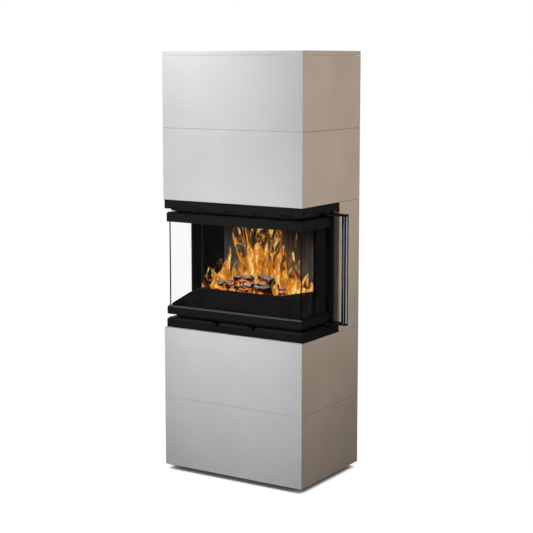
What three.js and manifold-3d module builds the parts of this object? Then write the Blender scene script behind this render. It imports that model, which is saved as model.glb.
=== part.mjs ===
// Tiled stove with a three-sided glass door. Millimetres, +Z up, front towards -Y.
// Two courses of tiles stand below the insert and two above it. The U-shaped glass door turns
// on a vertical hinge at the left rear, and its bar handle turns a latch shaft at the right.

import * as THREE from 'three';
import { mergeVertices } from 'three/addons/utils/BufferGeometryUtils.js';
import Module from 'manifold-3d';

const wasm = await Module();
wasm.setup();

// ---------------------------------------------------------------- driving dimensions

const SEAT = 0.3; // gap between a piece and what carries it

// Casing
const CASING_WIDTH = 680;
const CASING_DEPTH = 470;
const COURSE_HEIGHT = 300;
const COURSES_BELOW = 2;
const COURSES_ABOVE = 2;
const TILE_JOINT = 0.6; // open joint between two courses
const MITRE_JOINT = 0.6; // open joint between front and side tile
const TILE_THICKNESS = 30;
const TILE_EASE = 1.6; // rounded arris along the joints
const TILE_RIM = 28; // solid rim round the pocket in a tile's back
const TILE_POCKET = 9;
const TONGUE_WIDTH = 7;
const TONGUE_HEIGHT = 4.5;
const TONGUE_CLEARANCE = 0.6;

// Top slab
const TOP_THICKNESS = 18;
const TOP_EASE = 1.2;
const TOP_BORDER = 60;
const TOP_LEDGE = 12; // rebate that carries the middle plate
const TOP_PLATE_THICKNESS = 11;
const TOP_SLOT_LENGTH = 190;
const TOP_SLOT_WIDTH = 24;
const TOP_SLOT_OFFSET = 190;

// Plinth and feet
const BASE_PLATE_THICKNESS = 4;
const BASE_PLATE_INSET = 10;
const PLINTH_HEIGHT = 13;
const PLINTH_SETBACK_FRONT = 49;
const PLINTH_SETBACK_SIDE = 57;
const PLINTH_WALL = 3;
const FOOT_CLEARANCE = 3; // from the floor to the plinth
const FOOT_RADIUS = 11;
const FOOT_PAD_HEIGHT = 5;
const FOOT_STEM_RADIUS = 5;
const FOOT_INSET = 75;

// Inner frame
const PROFILE_SIZE = 40;
const PROFILE_WALL = 3;
const CRADLE_THICKNESS = 6;
const BACK_PANEL_THICKNESS = 2.5;
const VENT_LENGTH = 70;
const VENT_WIDTH = 9;
const VENT_PITCH_X = 95;
const VENT_PITCH_Z = 26;
const VENT_COLUMNS = 5;
const VENT_ROWS = 3;
const VENT_EDGE = 110; // from a panel's lower or upper edge to the nearest row

// Insert, from the bottom up
const BOTTOM_FRAME_HEIGHT = 41;
const LOWER_GAP = 14;
const BOTTOM_RAIL_HEIGHT = 38;
const GLASS_HEIGHT = 357;
const TOP_RAIL_HEIGHT = 41;
const UPPER_GAP = 15;
const FLANGE_HEIGHT = 38;

// Insert, setbacks from the tile faces
const FLANGE_SETBACK = 3;
const DOOR_SETBACK_FRONT = 12;
const DOOR_SETBACK_SIDE = 7;
const FRAME_SETBACK_FRONT = 15;
const FRAME_SETBACK_SIDE = 3;
const DOOR_DEPTH = 256; // from the door's face to its rear ends
const REAR_RECESS = 32; // dark recess between door and strip tile

// Bent steel
const SHEET = 3;
const HEAVY_SHEET = 4;
const FRAME_BEVEL = 8;
const NOTCH_WIDTH = 64;
const NOTCH_DEPTH = 8;
const NOTCH_PITCH_FRONT = 134;
const NOTCH_COUNT_FRONT = 5;
const NOTCH_PITCH_SIDE = 118;
const NOTCH_COUNT_SIDE = 2;
const NOTCH_FROM_REAR = 42; // from a side's rear end to the nearest notch's middle
const SKIRT_SETBACK = 20; // from the flange's face back to the skirt
const SKIRT_DROP = 9; // how far the skirt hangs below the flange

// Door
const RAIL_DEPTH = 24;
const RAIL_TOP_BEVEL = 5;
const RAIL_SILL_BEVEL = 6;
const RAIL_CHAMFER = 3;
const RAIL_RETURN = 10;
const GLASS_LIP = 7.5; // depth of the lip in front of the glass
const GLASS_THICKNESS = 4;
const GLASS_OVERLAP = 8; // hidden edge of a pane behind the rails
const GLASS_JOINT = 0.8; // between two panes at the corner
const HINGE_STILE_WIDTH = 80;
const LATCH_STILE_WIDTH = 35;
const STILE_LEG = 20;
const BATTEN_WIDTH = 6; // upright strips of the retaining frame, hidden in the stiles
const BATTEN_INSET = 2.5;
const GASKET_THICKNESS = 5;
const GASKET_WIDTH = 8;
const GASKET_CLEARANCE = 1;

// Hinge
const PIVOT_INSET = 12; // from the door's side face
const PIVOT_FROM_REAR = 12; // from the door's rear end
const ROD_RADIUS = 6;
const COLLAR_RADIUS = 9;
const EAR_THICKNESS = 8;
const EAR_WIDTH = 20;
const SWING_CLEARANCE = 0.7;

// Handle and latch
const BAR_RADIUS = 14;
const BAR_OFFSET = 60; // from the casing's side to the bar's axis
const BAR_LEAD = 9; // bar's axis ahead of the shaft
const ARM_THICKNESS = 8;
const ARM_HUB_RADIUS = 12;
const ARM_ROOT = 49; // how far the arm's root sweeps forward
const SHAFT_RADIUS = 7;
const SHAFT_FROM_REAR = 18;
const SHAFT_CLEARANCE = 0.5;
const TONGUE_REACH = 30;
const TONGUE_LEAN = 5;
const LATCH_TONGUE_WIDTH = 8;
const LATCH_TONGUE_HEIGHT = 10;
const LATCH_FROM_RAIL = 60;
const LATCH_GAP = 1;
const ARM_CORNER = 1; // small step where an arm's root meets the door's side
const KEEPER_DEPTH = 20;
const KEEPER_FROM_DOOR = 4;
const KEEPER_REACH = 22;

// Air levers
const LEVER_OFFSET = 89;
const LEVER_NOTCH_WIDTH = 35;
const LEVER_NOTCH_DEPTH = 12;
const LEVER_WIDTH = 22;
const LEVER_HEIGHT = 10;
const LEVER_GAP = 1; // under a lever, and half of it above
const LEVER_NOSE = 1; // how far the lever stands out of the frame
const LEVER_END_GAP = 1.5;
const LEVER_REAR = 40; // from the housing's front to the damper plate's rear
const DAMPER_WIDTH = 40;
const DAMPER_DEPTH = 26;
const DAMPER_THICKNESS = 3;
const PORT_WIDTH = 8;
const PORT_DEPTH = 16;
const PORT_LAP = 1; // how far the closed damper covers past its port

// Firebox
const SILL_DROP = 12.7; // from the rail's upper edge down to the sill
const CORE_WALL = 4;
const TOP_SEAL_DEPTH = 26; // how far the top housing reaches down behind the door
const CHEEK_SETBACK = 24; // from the door's rear end forward to the cheeks' face
const CHEEK_OPENING = 494;
const LINING_THICKNESS = 30;
const BACK_LINING_FRONT = 65; // from the cheeks' face back to the ribs
const RIB_COUNT = 19;
const RIB_DEPTH = 7;
const RIB_FLANK = 4;
const HEARTH_THICKNESS = 25;
const HEARTH_FRONT = 62; // from the housing's front to the hearth floor
const BAFFLE_THICKNESS = 25;
const BAFFLE_DEPTH = 190;
const HOOD_RADIUS = 115;
const HOOD_HEIGHT = 60;
const FLUE_RADIUS = 90;
const FLUE_WALL = 2;
const FLUE_INSERTION = 30;
const FLUE_Y = -10;
const FLUE_BEAD = 2;
const FLUE_BEAD_DROP = 35;
const FLUE_BELOW_TOP = 5;
const FLUE_CLEARANCE = 5;
const INLET_RADIUS = 50;
const INLET_WALL = 2;
const INLET_Y = 20;
const INLET_DROP = 80;
const INLET_BEND = 90;

// Ember guard
const GUARD_HEIGHT = 90;
const GUARD_PLATE = 5;
const GUARD_RIM_HALF = 190;
const GUARD_RIM_REAR_HALF = 240;
const GUARD_RIM_FROM_FACE = 60; // from the door's face back to the rim
const GUARD_FOOT_FROM_FACE = 39; // from the door's face back to the foot
const GUARD_FOOT_HALF = 210;
const GUARD_SHOULDER_HALF = 252;
const GUARD_SHOULDER_DROP = 22;
const GUARD_SIDE_GAP = 4; // from the wing's foot to the housing's side
const GUARD_SEAM = 1.6;
const GUARD_CORNER_CUT = 38; // right wing's outer corner, cut back for the door's swing
const GUARD_TIP_GAP = 2; // from the left wing's tip to the panes beside it
const GUARD_TIP_RISE = 1.5; // from the door's bottom rail up to that tip

// Fire
const EMBER_HALF_LENGTH = 185;
const EMBER_HALF_WIDTH = 80;
const EMBER_HEIGHT = 45;
const EMBER_Y = -42;
const LOG_RADIUS = 23;
const LOG_LENGTH = 270;
const LOG_SPREAD = 36;
const LOG_STACK = 1.85; // upper log's axis above the lower ones, in log radii
const LOG_TURN = 7; // degrees
const TOP_LOG_TURN = 58;

// Facets
const ROUND = 32;
const FINE_ROUND = 48;
const ARC_STEPS = 10;

// ---------------------------------------------------------------- derived places

const side = CASING_WIDTH / 2;
const front = -CASING_DEPTH / 2;
const back = CASING_DEPTH / 2;

const casingBottom = FOOT_CLEARANCE + PLINTH_HEIGHT + BASE_PLATE_THICKNESS;
const openingBottom = casingBottom + COURSES_BELOW * COURSE_HEIGHT;
const frameBottom = openingBottom + SEAT;
const frameTop = frameBottom + BOTTOM_FRAME_HEIGHT;
const doorBottom = frameTop + LOWER_GAP;
const glassBottom = doorBottom + BOTTOM_RAIL_HEIGHT;
const glassTop = glassBottom + GLASS_HEIGHT;
const doorTop = glassTop + TOP_RAIL_HEIGHT;
const flangeBottom = doorTop + UPPER_GAP;
const openingTop = flangeBottom + FLANGE_HEIGHT;
const casingTop = openingTop + COURSES_ABOVE * COURSE_HEIGHT;
const stoveTop = casingTop + TOP_THICKNESS;
const tileBack = side - TILE_THICKNESS;
const tileBackY = front + TILE_THICKNESS;

const doorSide = side - DOOR_SETBACK_SIDE;
const doorFront = front + DOOR_SETBACK_FRONT;
const doorRear = doorFront + DOOR_DEPTH;
const stripFront = doorRear + REAR_RECESS;
const paneDepth = GLASS_LIP + SEAT + 0.2;
const paneOuter = doorSide - paneDepth;
const paneFront = doorFront + paneDepth;
const paneBack = paneFront + GLASS_THICKNESS;

const gasketDepth = RAIL_DEPTH + SEAT + GASKET_THICKNESS;
const coreSide = doorSide - gasketDepth - GASKET_CLEARANCE;
const coreFront = doorFront + gasketDepth + GASKET_CLEARANCE;

const pivotX = -doorSide + PIVOT_INSET;
const pivotY = doorRear - PIVOT_FROM_REAR;
// Everything fixed inside the door stays within this circle round the hinge.
const swingRadius = doorSide - gasketDepth - pivotX - SWING_CLEARANCE;

const sillTop = glassBottom - SILL_DROP;
const topHousingBottom = doorTop - TOP_SEAL_DEPTH;
const topHousingTop = openingTop - HEAVY_SHEET;
const cheekFace = doorRear - CHEEK_SETBACK;
const ribFace = cheekFace + BACK_LINING_FRONT;
const backLiningRear = ribFace + RIB_DEPTH + LINING_THICKNESS;
const coreRear = backLiningRear + SEAT + CORE_WALL;
const cheekHalf = CHEEK_OPENING / 2;
const hearthTop = sillTop + SEAT + HEARTH_THICKNESS;
const baffleBottom = topHousingBottom - SEAT - BAFFLE_THICKNESS;

const shaftX = doorSide - PIVOT_INSET;
const shaftY = doorRear - SHAFT_FROM_REAR;
const barX = side + BAR_OFFSET;
const barY = shaftY - BAR_LEAD;
const lowerGapMiddle = frameTop + LOWER_GAP / 2;
const upperGapMiddle = doorTop + UPPER_GAP / 2;

// The origin is the middle of the floor area taken up by the stove with its handle.
const handleReach = BAR_OFFSET + BAR_RADIUS;
const casingShift = -handleReach / 2;

// ---------------------------------------------------------------- materials

const material = (color, roughness, metalness, extra = {}) =>
  new THREE.MeshStandardMaterial({ color, roughness, metalness, ...extra });

const FRONT_TILE = material('#d9dadb', 0.55, 0);
const SIDE_TILE = material('#a08f7d', 0.6, 0);
const BLACK_STEEL = material('#202221', 0.5, 0.4);
const INNER_STEEL = material('#4b4d4f', 0.55, 0.6);
const BACK_STEEL = material('#33353a', 0.6, 0.5);
const POLISHED_STEEL = material('#9aa0a8', 0.18, 1);
const GLASS = material('#20262a', 0.05, 0, { transparent: true, opacity: 0.25 });
const LINING = material('#4a4845', 0.9, 0);
const CAST_IRON = material('#1d1f1e', 0.7, 0.3);
const ROPE = material('#3b3b3a', 0.95, 0);
const FLUE_STEEL = material('#2b2c2e', 0.6, 0.5);
const EMBERS = material('#5a2a17', 0.95, 0, { emissive: '#c8430a', emissiveIntensity: 0.6 });
const CHARRED_WOOD = material('#2f2a26', 0.95, 0);

// ---------------------------------------------------------------- solids

/** Closed manifold solid of a three.js geometry. */
function solidOf(geometry) {
  const bare = geometry.clone();
  bare.deleteAttribute('normal');
  bare.deleteAttribute('uv');
  const merged = mergeVertices(bare, 1e-4);
  const solid = new wasm.Manifold(
    new wasm.Mesh({
      numProp: 3,
      vertProperties: new Float32Array(merged.attributes.position.array),
      triVerts: new Uint32Array(merged.index.array),
    }),
  );
  if (solid.status() !== 'NoError') throw new Error(`open geometry: ${solid.status()}`);
  return solid;
}

/** Flat-shaded three.js geometry of a manifold solid. */
function geometryOf(solid) {
  const mesh = solid.getMesh();
  const geometry = new THREE.BufferGeometry();
  geometry.setAttribute('position', new THREE.Float32BufferAttribute(mesh.vertProperties, 3));
  geometry.setIndex(Array.from(mesh.triVerts));
  const flat = geometry.toNonIndexed();
  flat.computeVertexNormals();
  return flat;
}

/** Union of several geometries. */
function join(...pieces) {
  const solids = pieces.map(solidOf);
  return geometryOf(solids.reduce((sum, next) => sum.add(next)));
}

/** Geometry with the tools taken away. */
function cut(piece, ...tools) {
  const cutters = tools.map(solidOf);
  return geometryOf(cutters.reduce((rest, tool) => rest.subtract(tool), solidOf(piece)));
}

/** What a piece and a tool have in common. */
function common(piece, tool) {
  return geometryOf(solidOf(piece).intersect(solidOf(tool)));
}

/** Rectangular block between two corners. */
function block([x0, y0, z0], [x1, y1, z1]) {
  const box = new THREE.BoxGeometry(x1 - x0, y1 - y0, z1 - z0);
  return box.translate((x0 + x1) / 2, (y0 + y1) / 2, (z0 + z1) / 2);
}

/** Upright round bar. */
function upright(x, y, z0, z1, radius, facets = ROUND) {
  const bar = new THREE.CylinderGeometry(radius, radius, z1 - z0, facets);
  return bar.rotateX(Math.PI / 2).translate(x, y, (z0 + z1) / 2);
}

/** Plan outline pulled up from one height to another. */
function prism(shape, z0, z1, curveSegments = ARC_STEPS) {
  const options = { depth: z1 - z0, bevelEnabled: false, curveSegments };
  return new THREE.ExtrudeGeometry(shape, options).translate(0, 0, z0);
}

/** Shape through a list of points. */
function outline(points) {
  return new THREE.Shape(points.map(([x, y]) => new THREE.Vector2(x, y)));
}

/** Slot with round ends, long along X, centred on a point. */
function slotShape(x, y, length, width) {
  const shape = new THREE.Shape();
  const reach = (length - width) / 2;
  shape.absarc(x + reach, y, width / 2, -Math.PI / 2, Math.PI / 2, false);
  shape.absarc(x - reach, y, width / 2, Math.PI / 2, (3 * Math.PI) / 2, false);
  return shape;
}

/** Closed section turned round an upright axis. */
function turned(points, x, y, facets = FINE_ROUND) {
  const profile = points.map(([radius, z]) => new THREE.Vector2(radius, z));
  profile.push(profile[0].clone());
  const lathe = new THREE.LatheGeometry(profile, facets);
  return outward(lathe.rotateX(Math.PI / 2).translate(x, y, 0));
}

/** Same geometry with its faces pointing outwards. */
function outward(geometry) {
  const bare = geometry.clone();
  bare.deleteAttribute('normal');
  bare.deleteAttribute('uv');
  const merged = mergeVertices(bare, 1e-4);
  const position = merged.attributes.position;
  const index = merged.index.array;
  const a = new THREE.Vector3();
  const b = new THREE.Vector3();
  const c = new THREE.Vector3();
  const kept = [];
  let volume = 0;
  for (let i = 0; i < index.length; i += 3) {
    const [p, q, r] = [index[i], index[i + 1], index[i + 2]];
    if (p === q || q === r || r === p) continue;
    kept.push(p, q, r);
    a.fromBufferAttribute(position, p);
    b.fromBufferAttribute(position, q);
    c.fromBufferAttribute(position, r);
    volume += a.dot(b.cross(c));
  }
  if (volume < 0) {
    for (let i = 0; i < kept.length; i += 3) [kept[i], kept[i + 1]] = [kept[i + 1], kept[i]];
  }
  merged.setIndex(kept);
  return merged;
}

/**
 * Section carried along a bent path with mitred corners. A section point is [depth, height]:
 * its depth runs inwards from the face. A station holds the face's plan point and the plan step
 * for each millimetre of depth, so a corner's step runs along the mitre.
 */
function sweep(section, stations, z = 0) {
  const profile = section.map(([depth, height]) => new THREE.Vector2(depth, height));
  if (THREE.ShapeUtils.isClockWise(profile)) profile.reverse();
  const count = profile.length;
  const positions = [];
  for (const { x, y, dx, dy } of stations) {
    for (const point of profile) {
      positions.push(x + dx * point.x, y + dy * point.x, z + point.y);
    }
  }
  const index = [];
  for (let station = 0; station < stations.length - 1; station += 1) {
    for (let i = 0; i < count; i += 1) {
      const a = station * count + i;
      const b = station * count + ((i + 1) % count);
      index.push(a, b, b + count, a, b + count, a + count);
    }
  }
  const last = (stations.length - 1) * count;
  for (const [i, j, k] of THREE.ShapeUtils.triangulateShape(profile, [])) {
    const turn = profile[j].clone().sub(profile[i]).cross(profile[k].clone().sub(profile[i]));
    const [p, q] = turn > 0 ? [i, j] : [j, i];
    index.push(q, p, k, last + p, last + q, last + k);
  }
  const geometry = new THREE.BufferGeometry();
  geometry.setAttribute('position', new THREE.Float32BufferAttribute(positions, 3));
  geometry.setIndex(index);
  return outward(geometry);
}

/** Stations of a U round the left side, the front and the right side. */
function roundFront(sideFace, frontFace, rearLeft, rearRight = rearLeft) {
  return [
    { x: -sideFace, y: rearLeft, dx: 1, dy: 0 },
    { x: -sideFace, y: frontFace, dx: 1, dy: 1 },
    { x: sideFace, y: frontFace, dx: -1, dy: 1 },
    { x: sideFace, y: rearRight, dx: -1, dy: 0 },
  ];
}

/** Stations along the front only, mitred at both ends. */
function alongFront(sideFace, frontFace, joint) {
  return [
    { x: -sideFace + joint / 2, y: frontFace, dx: 1, dy: 1 },
    { x: sideFace - joint / 2, y: frontFace, dx: -1, dy: 1 },
  ];
}

/** Stations along one side, mitred at the front. A sign of -1 is the left, 1 the right. */
function alongSide(sign, sideFace, frontFace, rear, joint) {
  return [
    { x: sign * sideFace, y: frontFace + joint / 2, dx: -sign, dy: 1 },
    { x: sign * sideFace, y: rear, dx: -sign, dy: 0 },
  ];
}

/** Quarter-round between two directions, as section points. */
function quarter(depth, height, radius, fromAngle, toAngle, steps = 3) {
  const points = [];
  for (let i = 0; i <= steps; i += 1) {
    const angle = fromAngle + ((toAngle - fromAngle) * i) / steps;
    points.push([depth + radius * Math.cos(angle), height + radius * Math.sin(angle)]);
  }
  return points;
}

/** Sheet between a skin of triangles and the same skin moved by a step. */
function thickSkin(points, triangles, step) {
  const edges = new Map();
  for (const [a, b, c] of triangles) {
    for (const [p, q] of [[a, b], [b, c], [c, a]]) {
      if (edges.has(`${q},${p}`)) edges.delete(`${q},${p}`);
      else edges.set(`${p},${q}`, [p, q]);
    }
  }
  const count = points.length;
  const index = [];
  for (const [a, b, c] of triangles) index.push(a, b, c, c + count, b + count, a + count);
  for (const [p, q] of edges.values()) index.push(q, p, p + count, q, p + count, q + count);
  const moved = points.map(([x, y, z]) => [x + step[0], y + step[1], z + step[2]]);
  const geometry = new THREE.BufferGeometry();
  const positions = [...points, ...moved].flat();
  geometry.setAttribute('position', new THREE.Float32BufferAttribute(positions, 3));
  geometry.setIndex(index);
  return outward(geometry);
}

/** The insert's plan, shrunk by an inset, with its latch-side corner on the swing circle. */
function coreShape(inset) {
  const x = coreSide - inset;
  const y = coreFront + inset;
  const rear = coreRear - inset;
  const radius = swingRadius - inset;
  const startAngle = Math.asin((y - pivotY) / radius);
  const endAngle = -Math.acos(Math.min(1, (x - pivotX) / radius));
  const shape = new THREE.Shape();
  shape.moveTo(-x, rear);
  shape.lineTo(-x, y);
  shape.absarc(pivotX, pivotY, radius, startAngle, endAngle, false);
  shape.lineTo(x, rear);
  shape.closePath();
  return shape;
}

// ---------------------------------------------------------------- casing

const casing = new THREE.Group();
const insert = new THREE.Group();
const door = new THREE.Group();
const handle = new THREE.Group();
const airLevers = new THREE.Group();

/** Adds one named piece to a group. */
function add(group, name, geometry, finish) {
  const mesh = new THREE.Mesh(geometryOf(solidOf(geometry)), finish);
  mesh.name = name;
  group.add(mesh);
  return mesh;
}

/** Upright section of a tile, with its tongue above and its groove below where asked. */
function tileSection(height, hasTongue, hasGroove) {
  const middle = TILE_THICKNESS / 2;
  const half = TONGUE_WIDTH / 2;
  const grooveHalf = half + TONGUE_CLEARANCE;
  const grooveDepth = TONGUE_HEIGHT + TONGUE_CLEARANCE;
  const groove = [
    [middle - grooveHalf, 0],
    [middle - grooveHalf, grooveDepth],
    [middle + grooveHalf, grooveDepth],
    [middle + grooveHalf, 0],
  ];
  const tongue = [
    [middle + half, height],
    [middle + half, height + TONGUE_HEIGHT],
    [middle - half, height + TONGUE_HEIGHT],
    [middle - half, height],
  ];
  return [
    ...quarter(TILE_EASE, TILE_EASE, TILE_EASE, Math.PI, 1.5 * Math.PI),
    ...(hasGroove ? groove : []),
    [TILE_THICKNESS, 0],
    [TILE_THICKNESS, height],
    ...(hasTongue ? tongue : []),
    ...quarter(TILE_EASE, height - TILE_EASE, TILE_EASE, Math.PI / 2, Math.PI),
  ];
}

/** Front, left and right tile of one course. */
function addCourse(number, courseBottom, hasTongue, hasGroove) {
  const height = COURSE_HEIGHT - TILE_JOINT;
  const bottom = courseBottom + TILE_JOINT / 2;
  const section = tileSection(height, hasTongue, hasGroove);
  const low = bottom + TILE_RIM;
  const high = bottom + height - TILE_RIM;
  const pocketX = tileBack - TILE_RIM;
  const frontPocket = block(
    [-pocketX, tileBackY - TILE_POCKET, low],
    [pocketX, tileBackY + 1, high],
  );
  const frontTile = sweep(section, alongFront(side, front, MITRE_JOINT), bottom);
  add(casing, `tile_${number}_front`, cut(frontTile, frontPocket), FRONT_TILE);
  for (const [sign, name] of [[-1, 'left'], [1, 'right']]) {
    const inner = sign * (tileBack - 1);
    const outer = sign * (tileBack + TILE_POCKET);
    const pocket = block(
      [Math.min(inner, outer), tileBackY + TILE_RIM, low],
      [Math.max(inner, outer), back - TILE_RIM - PROFILE_SIZE, high],
    );
    const tile = sweep(section, alongSide(sign, side, front, back, MITRE_JOINT), bottom);
    add(casing, `tile_${number}_${name}`, cut(tile, pocket), SIDE_TILE);
  }
}

for (let i = 0; i < COURSES_BELOW; i += 1) {
  addCourse(i + 1, casingBottom + i * COURSE_HEIGHT, i < COURSES_BELOW - 1, i > 0);
}
for (let i = 0; i < COURSES_ABOVE; i += 1) {
  const number = COURSES_BELOW + i + 1;
  addCourse(number, openingTop + i * COURSE_HEIGHT, i < COURSES_ABOVE - 1, i > 0);
}

// Strip tiles beside the insert's back, one on each side.
const stripHeight = openingTop - openingBottom - TILE_JOINT;
const stripSection = tileSection(stripHeight, false, false);
for (const [sign, name] of [[-1, 'strip_tile_left'], [1, 'strip_tile_right']]) {
  const stations = [
    { x: sign * side, y: stripFront, dx: -sign, dy: 0 },
    { x: sign * side, y: back, dx: -sign, dy: 0 },
  ];
  const stripTile = sweep(stripSection, stations, openingBottom + TILE_JOINT / 2);
  add(casing, name, stripTile, SIDE_TILE);
}

// Top slab: three mitred slabs with a rebate that carries the middle plate.
const slabBottom = casingTop + TILE_JOINT / 2;
const slabHeight = stoveTop - slabBottom;
const ledgeHeight = slabHeight - TOP_PLATE_THICKNESS - SEAT;
const slabSection = [
  ...quarter(TOP_EASE, TOP_EASE, TOP_EASE, Math.PI, 1.5 * Math.PI),
  [TOP_BORDER, 0],
  [TOP_BORDER, ledgeHeight],
  [TOP_BORDER - TOP_LEDGE, ledgeHeight],
  [TOP_BORDER - TOP_LEDGE, slabHeight],
  ...quarter(TOP_EASE, slabHeight - TOP_EASE, TOP_EASE, Math.PI / 2, Math.PI),
];
const frontSlab = sweep(slabSection, alongFront(side, front, MITRE_JOINT), slabBottom);
const leftSlab = sweep(slabSection, alongSide(-1, side, front, back, MITRE_JOINT), slabBottom);
const rightSlab = sweep(slabSection, alongSide(1, side, front, back, MITRE_JOINT), slabBottom);
add(casing, 'top_slab_front', frontSlab, FRONT_TILE);
add(casing, 'top_slab_left', leftSlab, SIDE_TILE);
add(casing, 'top_slab_right', rightSlab, SIDE_TILE);

const topPlateSide = side - TOP_BORDER + TOP_LEDGE - SEAT;
const topPlateFront = front + TOP_BORDER - TOP_LEDGE + SEAT;
const topPlateBottom = stoveTop - TOP_PLATE_THICKNESS;
const flueOpening = FLUE_RADIUS + FLUE_BEAD + FLUE_CLEARANCE;
const topPlate = block(
  [-topPlateSide, topPlateFront, topPlateBottom],
  [topPlateSide, back, stoveTop],
);
const topSlots = [-1, 1].map((sign) => {
  const shape = slotShape(0, 0, TOP_SLOT_LENGTH, TOP_SLOT_WIDTH);
  const slot = prism(shape, topPlateBottom - 1, stoveTop + 1, 4).rotateZ(Math.PI / 2);
  return slot.translate(sign * TOP_SLOT_OFFSET, FLUE_Y, 0);
});
const flueHole = upright(0, FLUE_Y, topPlateBottom - 1, stoveTop + 1, flueOpening, FINE_ROUND);
add(casing, 'top_plate', cut(topPlate, flueHole, ...topSlots), BACK_STEEL);

// Base plate with a recessed plinth welded under it, and four levelling feet.
const basePlateBottom = casingBottom - BASE_PLATE_THICKNESS;
const basePlate = block(
  [-side + BASE_PLATE_INSET, front + BASE_PLATE_INSET, basePlateBottom],
  [side - BASE_PLATE_INSET, back - BASE_PLATE_INSET, casingBottom],
);
const plinthSide = side - PLINTH_SETBACK_SIDE;
const plinthFront = front + PLINTH_SETBACK_FRONT;
const plinthRear = back - PLINTH_SETBACK_FRONT;
const plinthTop = casingBottom - BASE_PLATE_THICKNESS / 2;
const plinthOuter = block(
  [-plinthSide, plinthFront, FOOT_CLEARANCE],
  [plinthSide, plinthRear, plinthTop],
);
const plinthInner = block(
  [-plinthSide + PLINTH_WALL, plinthFront + PLINTH_WALL, FOOT_CLEARANCE - 1],
  [plinthSide - PLINTH_WALL, plinthRear - PLINTH_WALL, plinthTop + 1],
);
const plinthRing = cut(plinthOuter, plinthInner);
add(casing, 'plinth_base', join(basePlate, plinthRing), BLACK_STEEL);

const footX = plinthSide - FOOT_INSET;
const footY = plinthFront + PLINTH_WALL + FOOT_RADIUS + 1;
const footProfile = [
  [0, 0],
  [FOOT_RADIUS - 1, 0],
  [FOOT_RADIUS, 1],
  [FOOT_RADIUS, FOOT_PAD_HEIGHT],
  [FOOT_STEM_RADIUS, FOOT_PAD_HEIGHT],
  [FOOT_STEM_RADIUS, basePlateBottom - SEAT],
  [0, basePlateBottom - SEAT],
];
for (const [x, y, place] of [
  [-footX, footY, 'front_left'],
  [footX, footY, 'front_right'],
  [-footX, -footY, 'rear_left'],
  [footX, -footY, 'rear_right'],
]) {
  add(casing, `levelling_foot_${place}`, turned(footProfile, x, y, ROUND / 2), INNER_STEEL);
}

/** Upright angle profile whose outer corner is given, opening towards the middle. */
function angleProfile(cornerX, cornerY, signX, signY, z0, z1) {
  const at = (u, v) => [cornerX - signX * u, cornerY - signY * v];
  const points = [
    at(0, 0),
    at(PROFILE_SIZE, 0),
    at(PROFILE_SIZE, PROFILE_WALL),
    at(PROFILE_WALL, PROFILE_WALL),
    at(PROFILE_WALL, PROFILE_SIZE),
    at(0, PROFILE_SIZE),
  ];
  return outward(prism(outline(points), z0, z1));
}

const profileSide = tileBack - SEAT;
const cradleTop = openingBottom;
const cradleBottom = cradleTop - CRADLE_THICKNESS;
const columnRear = back - BACK_PANEL_THICKNESS - SEAT;
const postBottom = casingBottom + SEAT;
const frontPosts = [-1, 1].map((sign) => angleProfile(
  sign * profileSide, tileBackY + SEAT, sign, -1, postBottom, cradleBottom + SEAT,
));
const rearColumns = [-1, 1].map((sign) => angleProfile(
  sign * profileSide, columnRear, sign, 1, postBottom, slabBottom - SEAT,
));
const cradlePlate = block(
  [-profileSide, tileBackY + SEAT, cradleBottom],
  [profileSide, columnRear, cradleTop],
);
const inletHole = upright(
  0, INLET_Y, cradleBottom - 1, cradleTop + 1, INLET_RADIUS + SEAT, FINE_ROUND,
);
const supportFrame = join(cut(cradlePlate, inletHole), ...frontPosts, ...rearColumns);
add(casing, 'support_frame', supportFrame, INNER_STEEL);

// Back panel: one sheet with vents near its lower and upper edge and the air inlet's hole.
const panelBottom = casingBottom + SEAT;
const panelTop = slabBottom - SEAT;
const vents = [];
for (let row = 0; row < VENT_ROWS; row += 1) {
  for (let column = 0; column < VENT_COLUMNS; column += 1) {
    const x = (column - (VENT_COLUMNS - 1) / 2) * VENT_PITCH_X;
    const shape = slotShape(x, 0, VENT_LENGTH, VENT_WIDTH);
    const vent = prism(shape, -1, BACK_PANEL_THICKNESS + 1, 3).rotateX(Math.PI / 2);
    vents.push(vent.clone().translate(0, back, panelBottom + VENT_EDGE + row * VENT_PITCH_Z));
    vents.push(vent.translate(0, back, panelTop - VENT_EDGE - row * VENT_PITCH_Z));
  }
}
const inletAxisZ = cradleTop - INLET_DROP - INLET_BEND;
const inletPanelHole = new THREE.CylinderGeometry(
  INLET_RADIUS + SEAT, INLET_RADIUS + SEAT, 4 * BACK_PANEL_THICKNESS, FINE_ROUND,
).translate(0, back - BACK_PANEL_THICKNESS, inletAxisZ);
const panelSheet = block(
  [-profileSide, back - BACK_PANEL_THICKNESS, panelBottom],
  [profileSide, back, panelTop],
);
add(casing, 'back_panel', cut(panelSheet, ...vents, inletPanelHole), BACK_STEEL);

// ---------------------------------------------------------------- insert

/** Ear for the hinge rod, welded to a housing's left side in a gap of the door. */
function hingeEar(middle) {
  const half = EAR_WIDTH / 2;
  const shape = new THREE.Shape();
  shape.moveTo(-coreSide + CORE_WALL / 2, pivotY + half);
  shape.lineTo(pivotX, pivotY + half);
  shape.absarc(pivotX, pivotY, half, Math.PI / 2, 1.5 * Math.PI, false);
  shape.lineTo(-coreSide + CORE_WALL / 2, pivotY - half);
  shape.closePath();
  return outward(prism(shape, middle - EAR_THICKNESS / 2, middle + EAR_THICKNESS / 2, 8));
}

const rodHole = upright(pivotX, pivotY, frameBottom, casingTop, ROD_RADIUS + SEAT, ROUND / 2);

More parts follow.
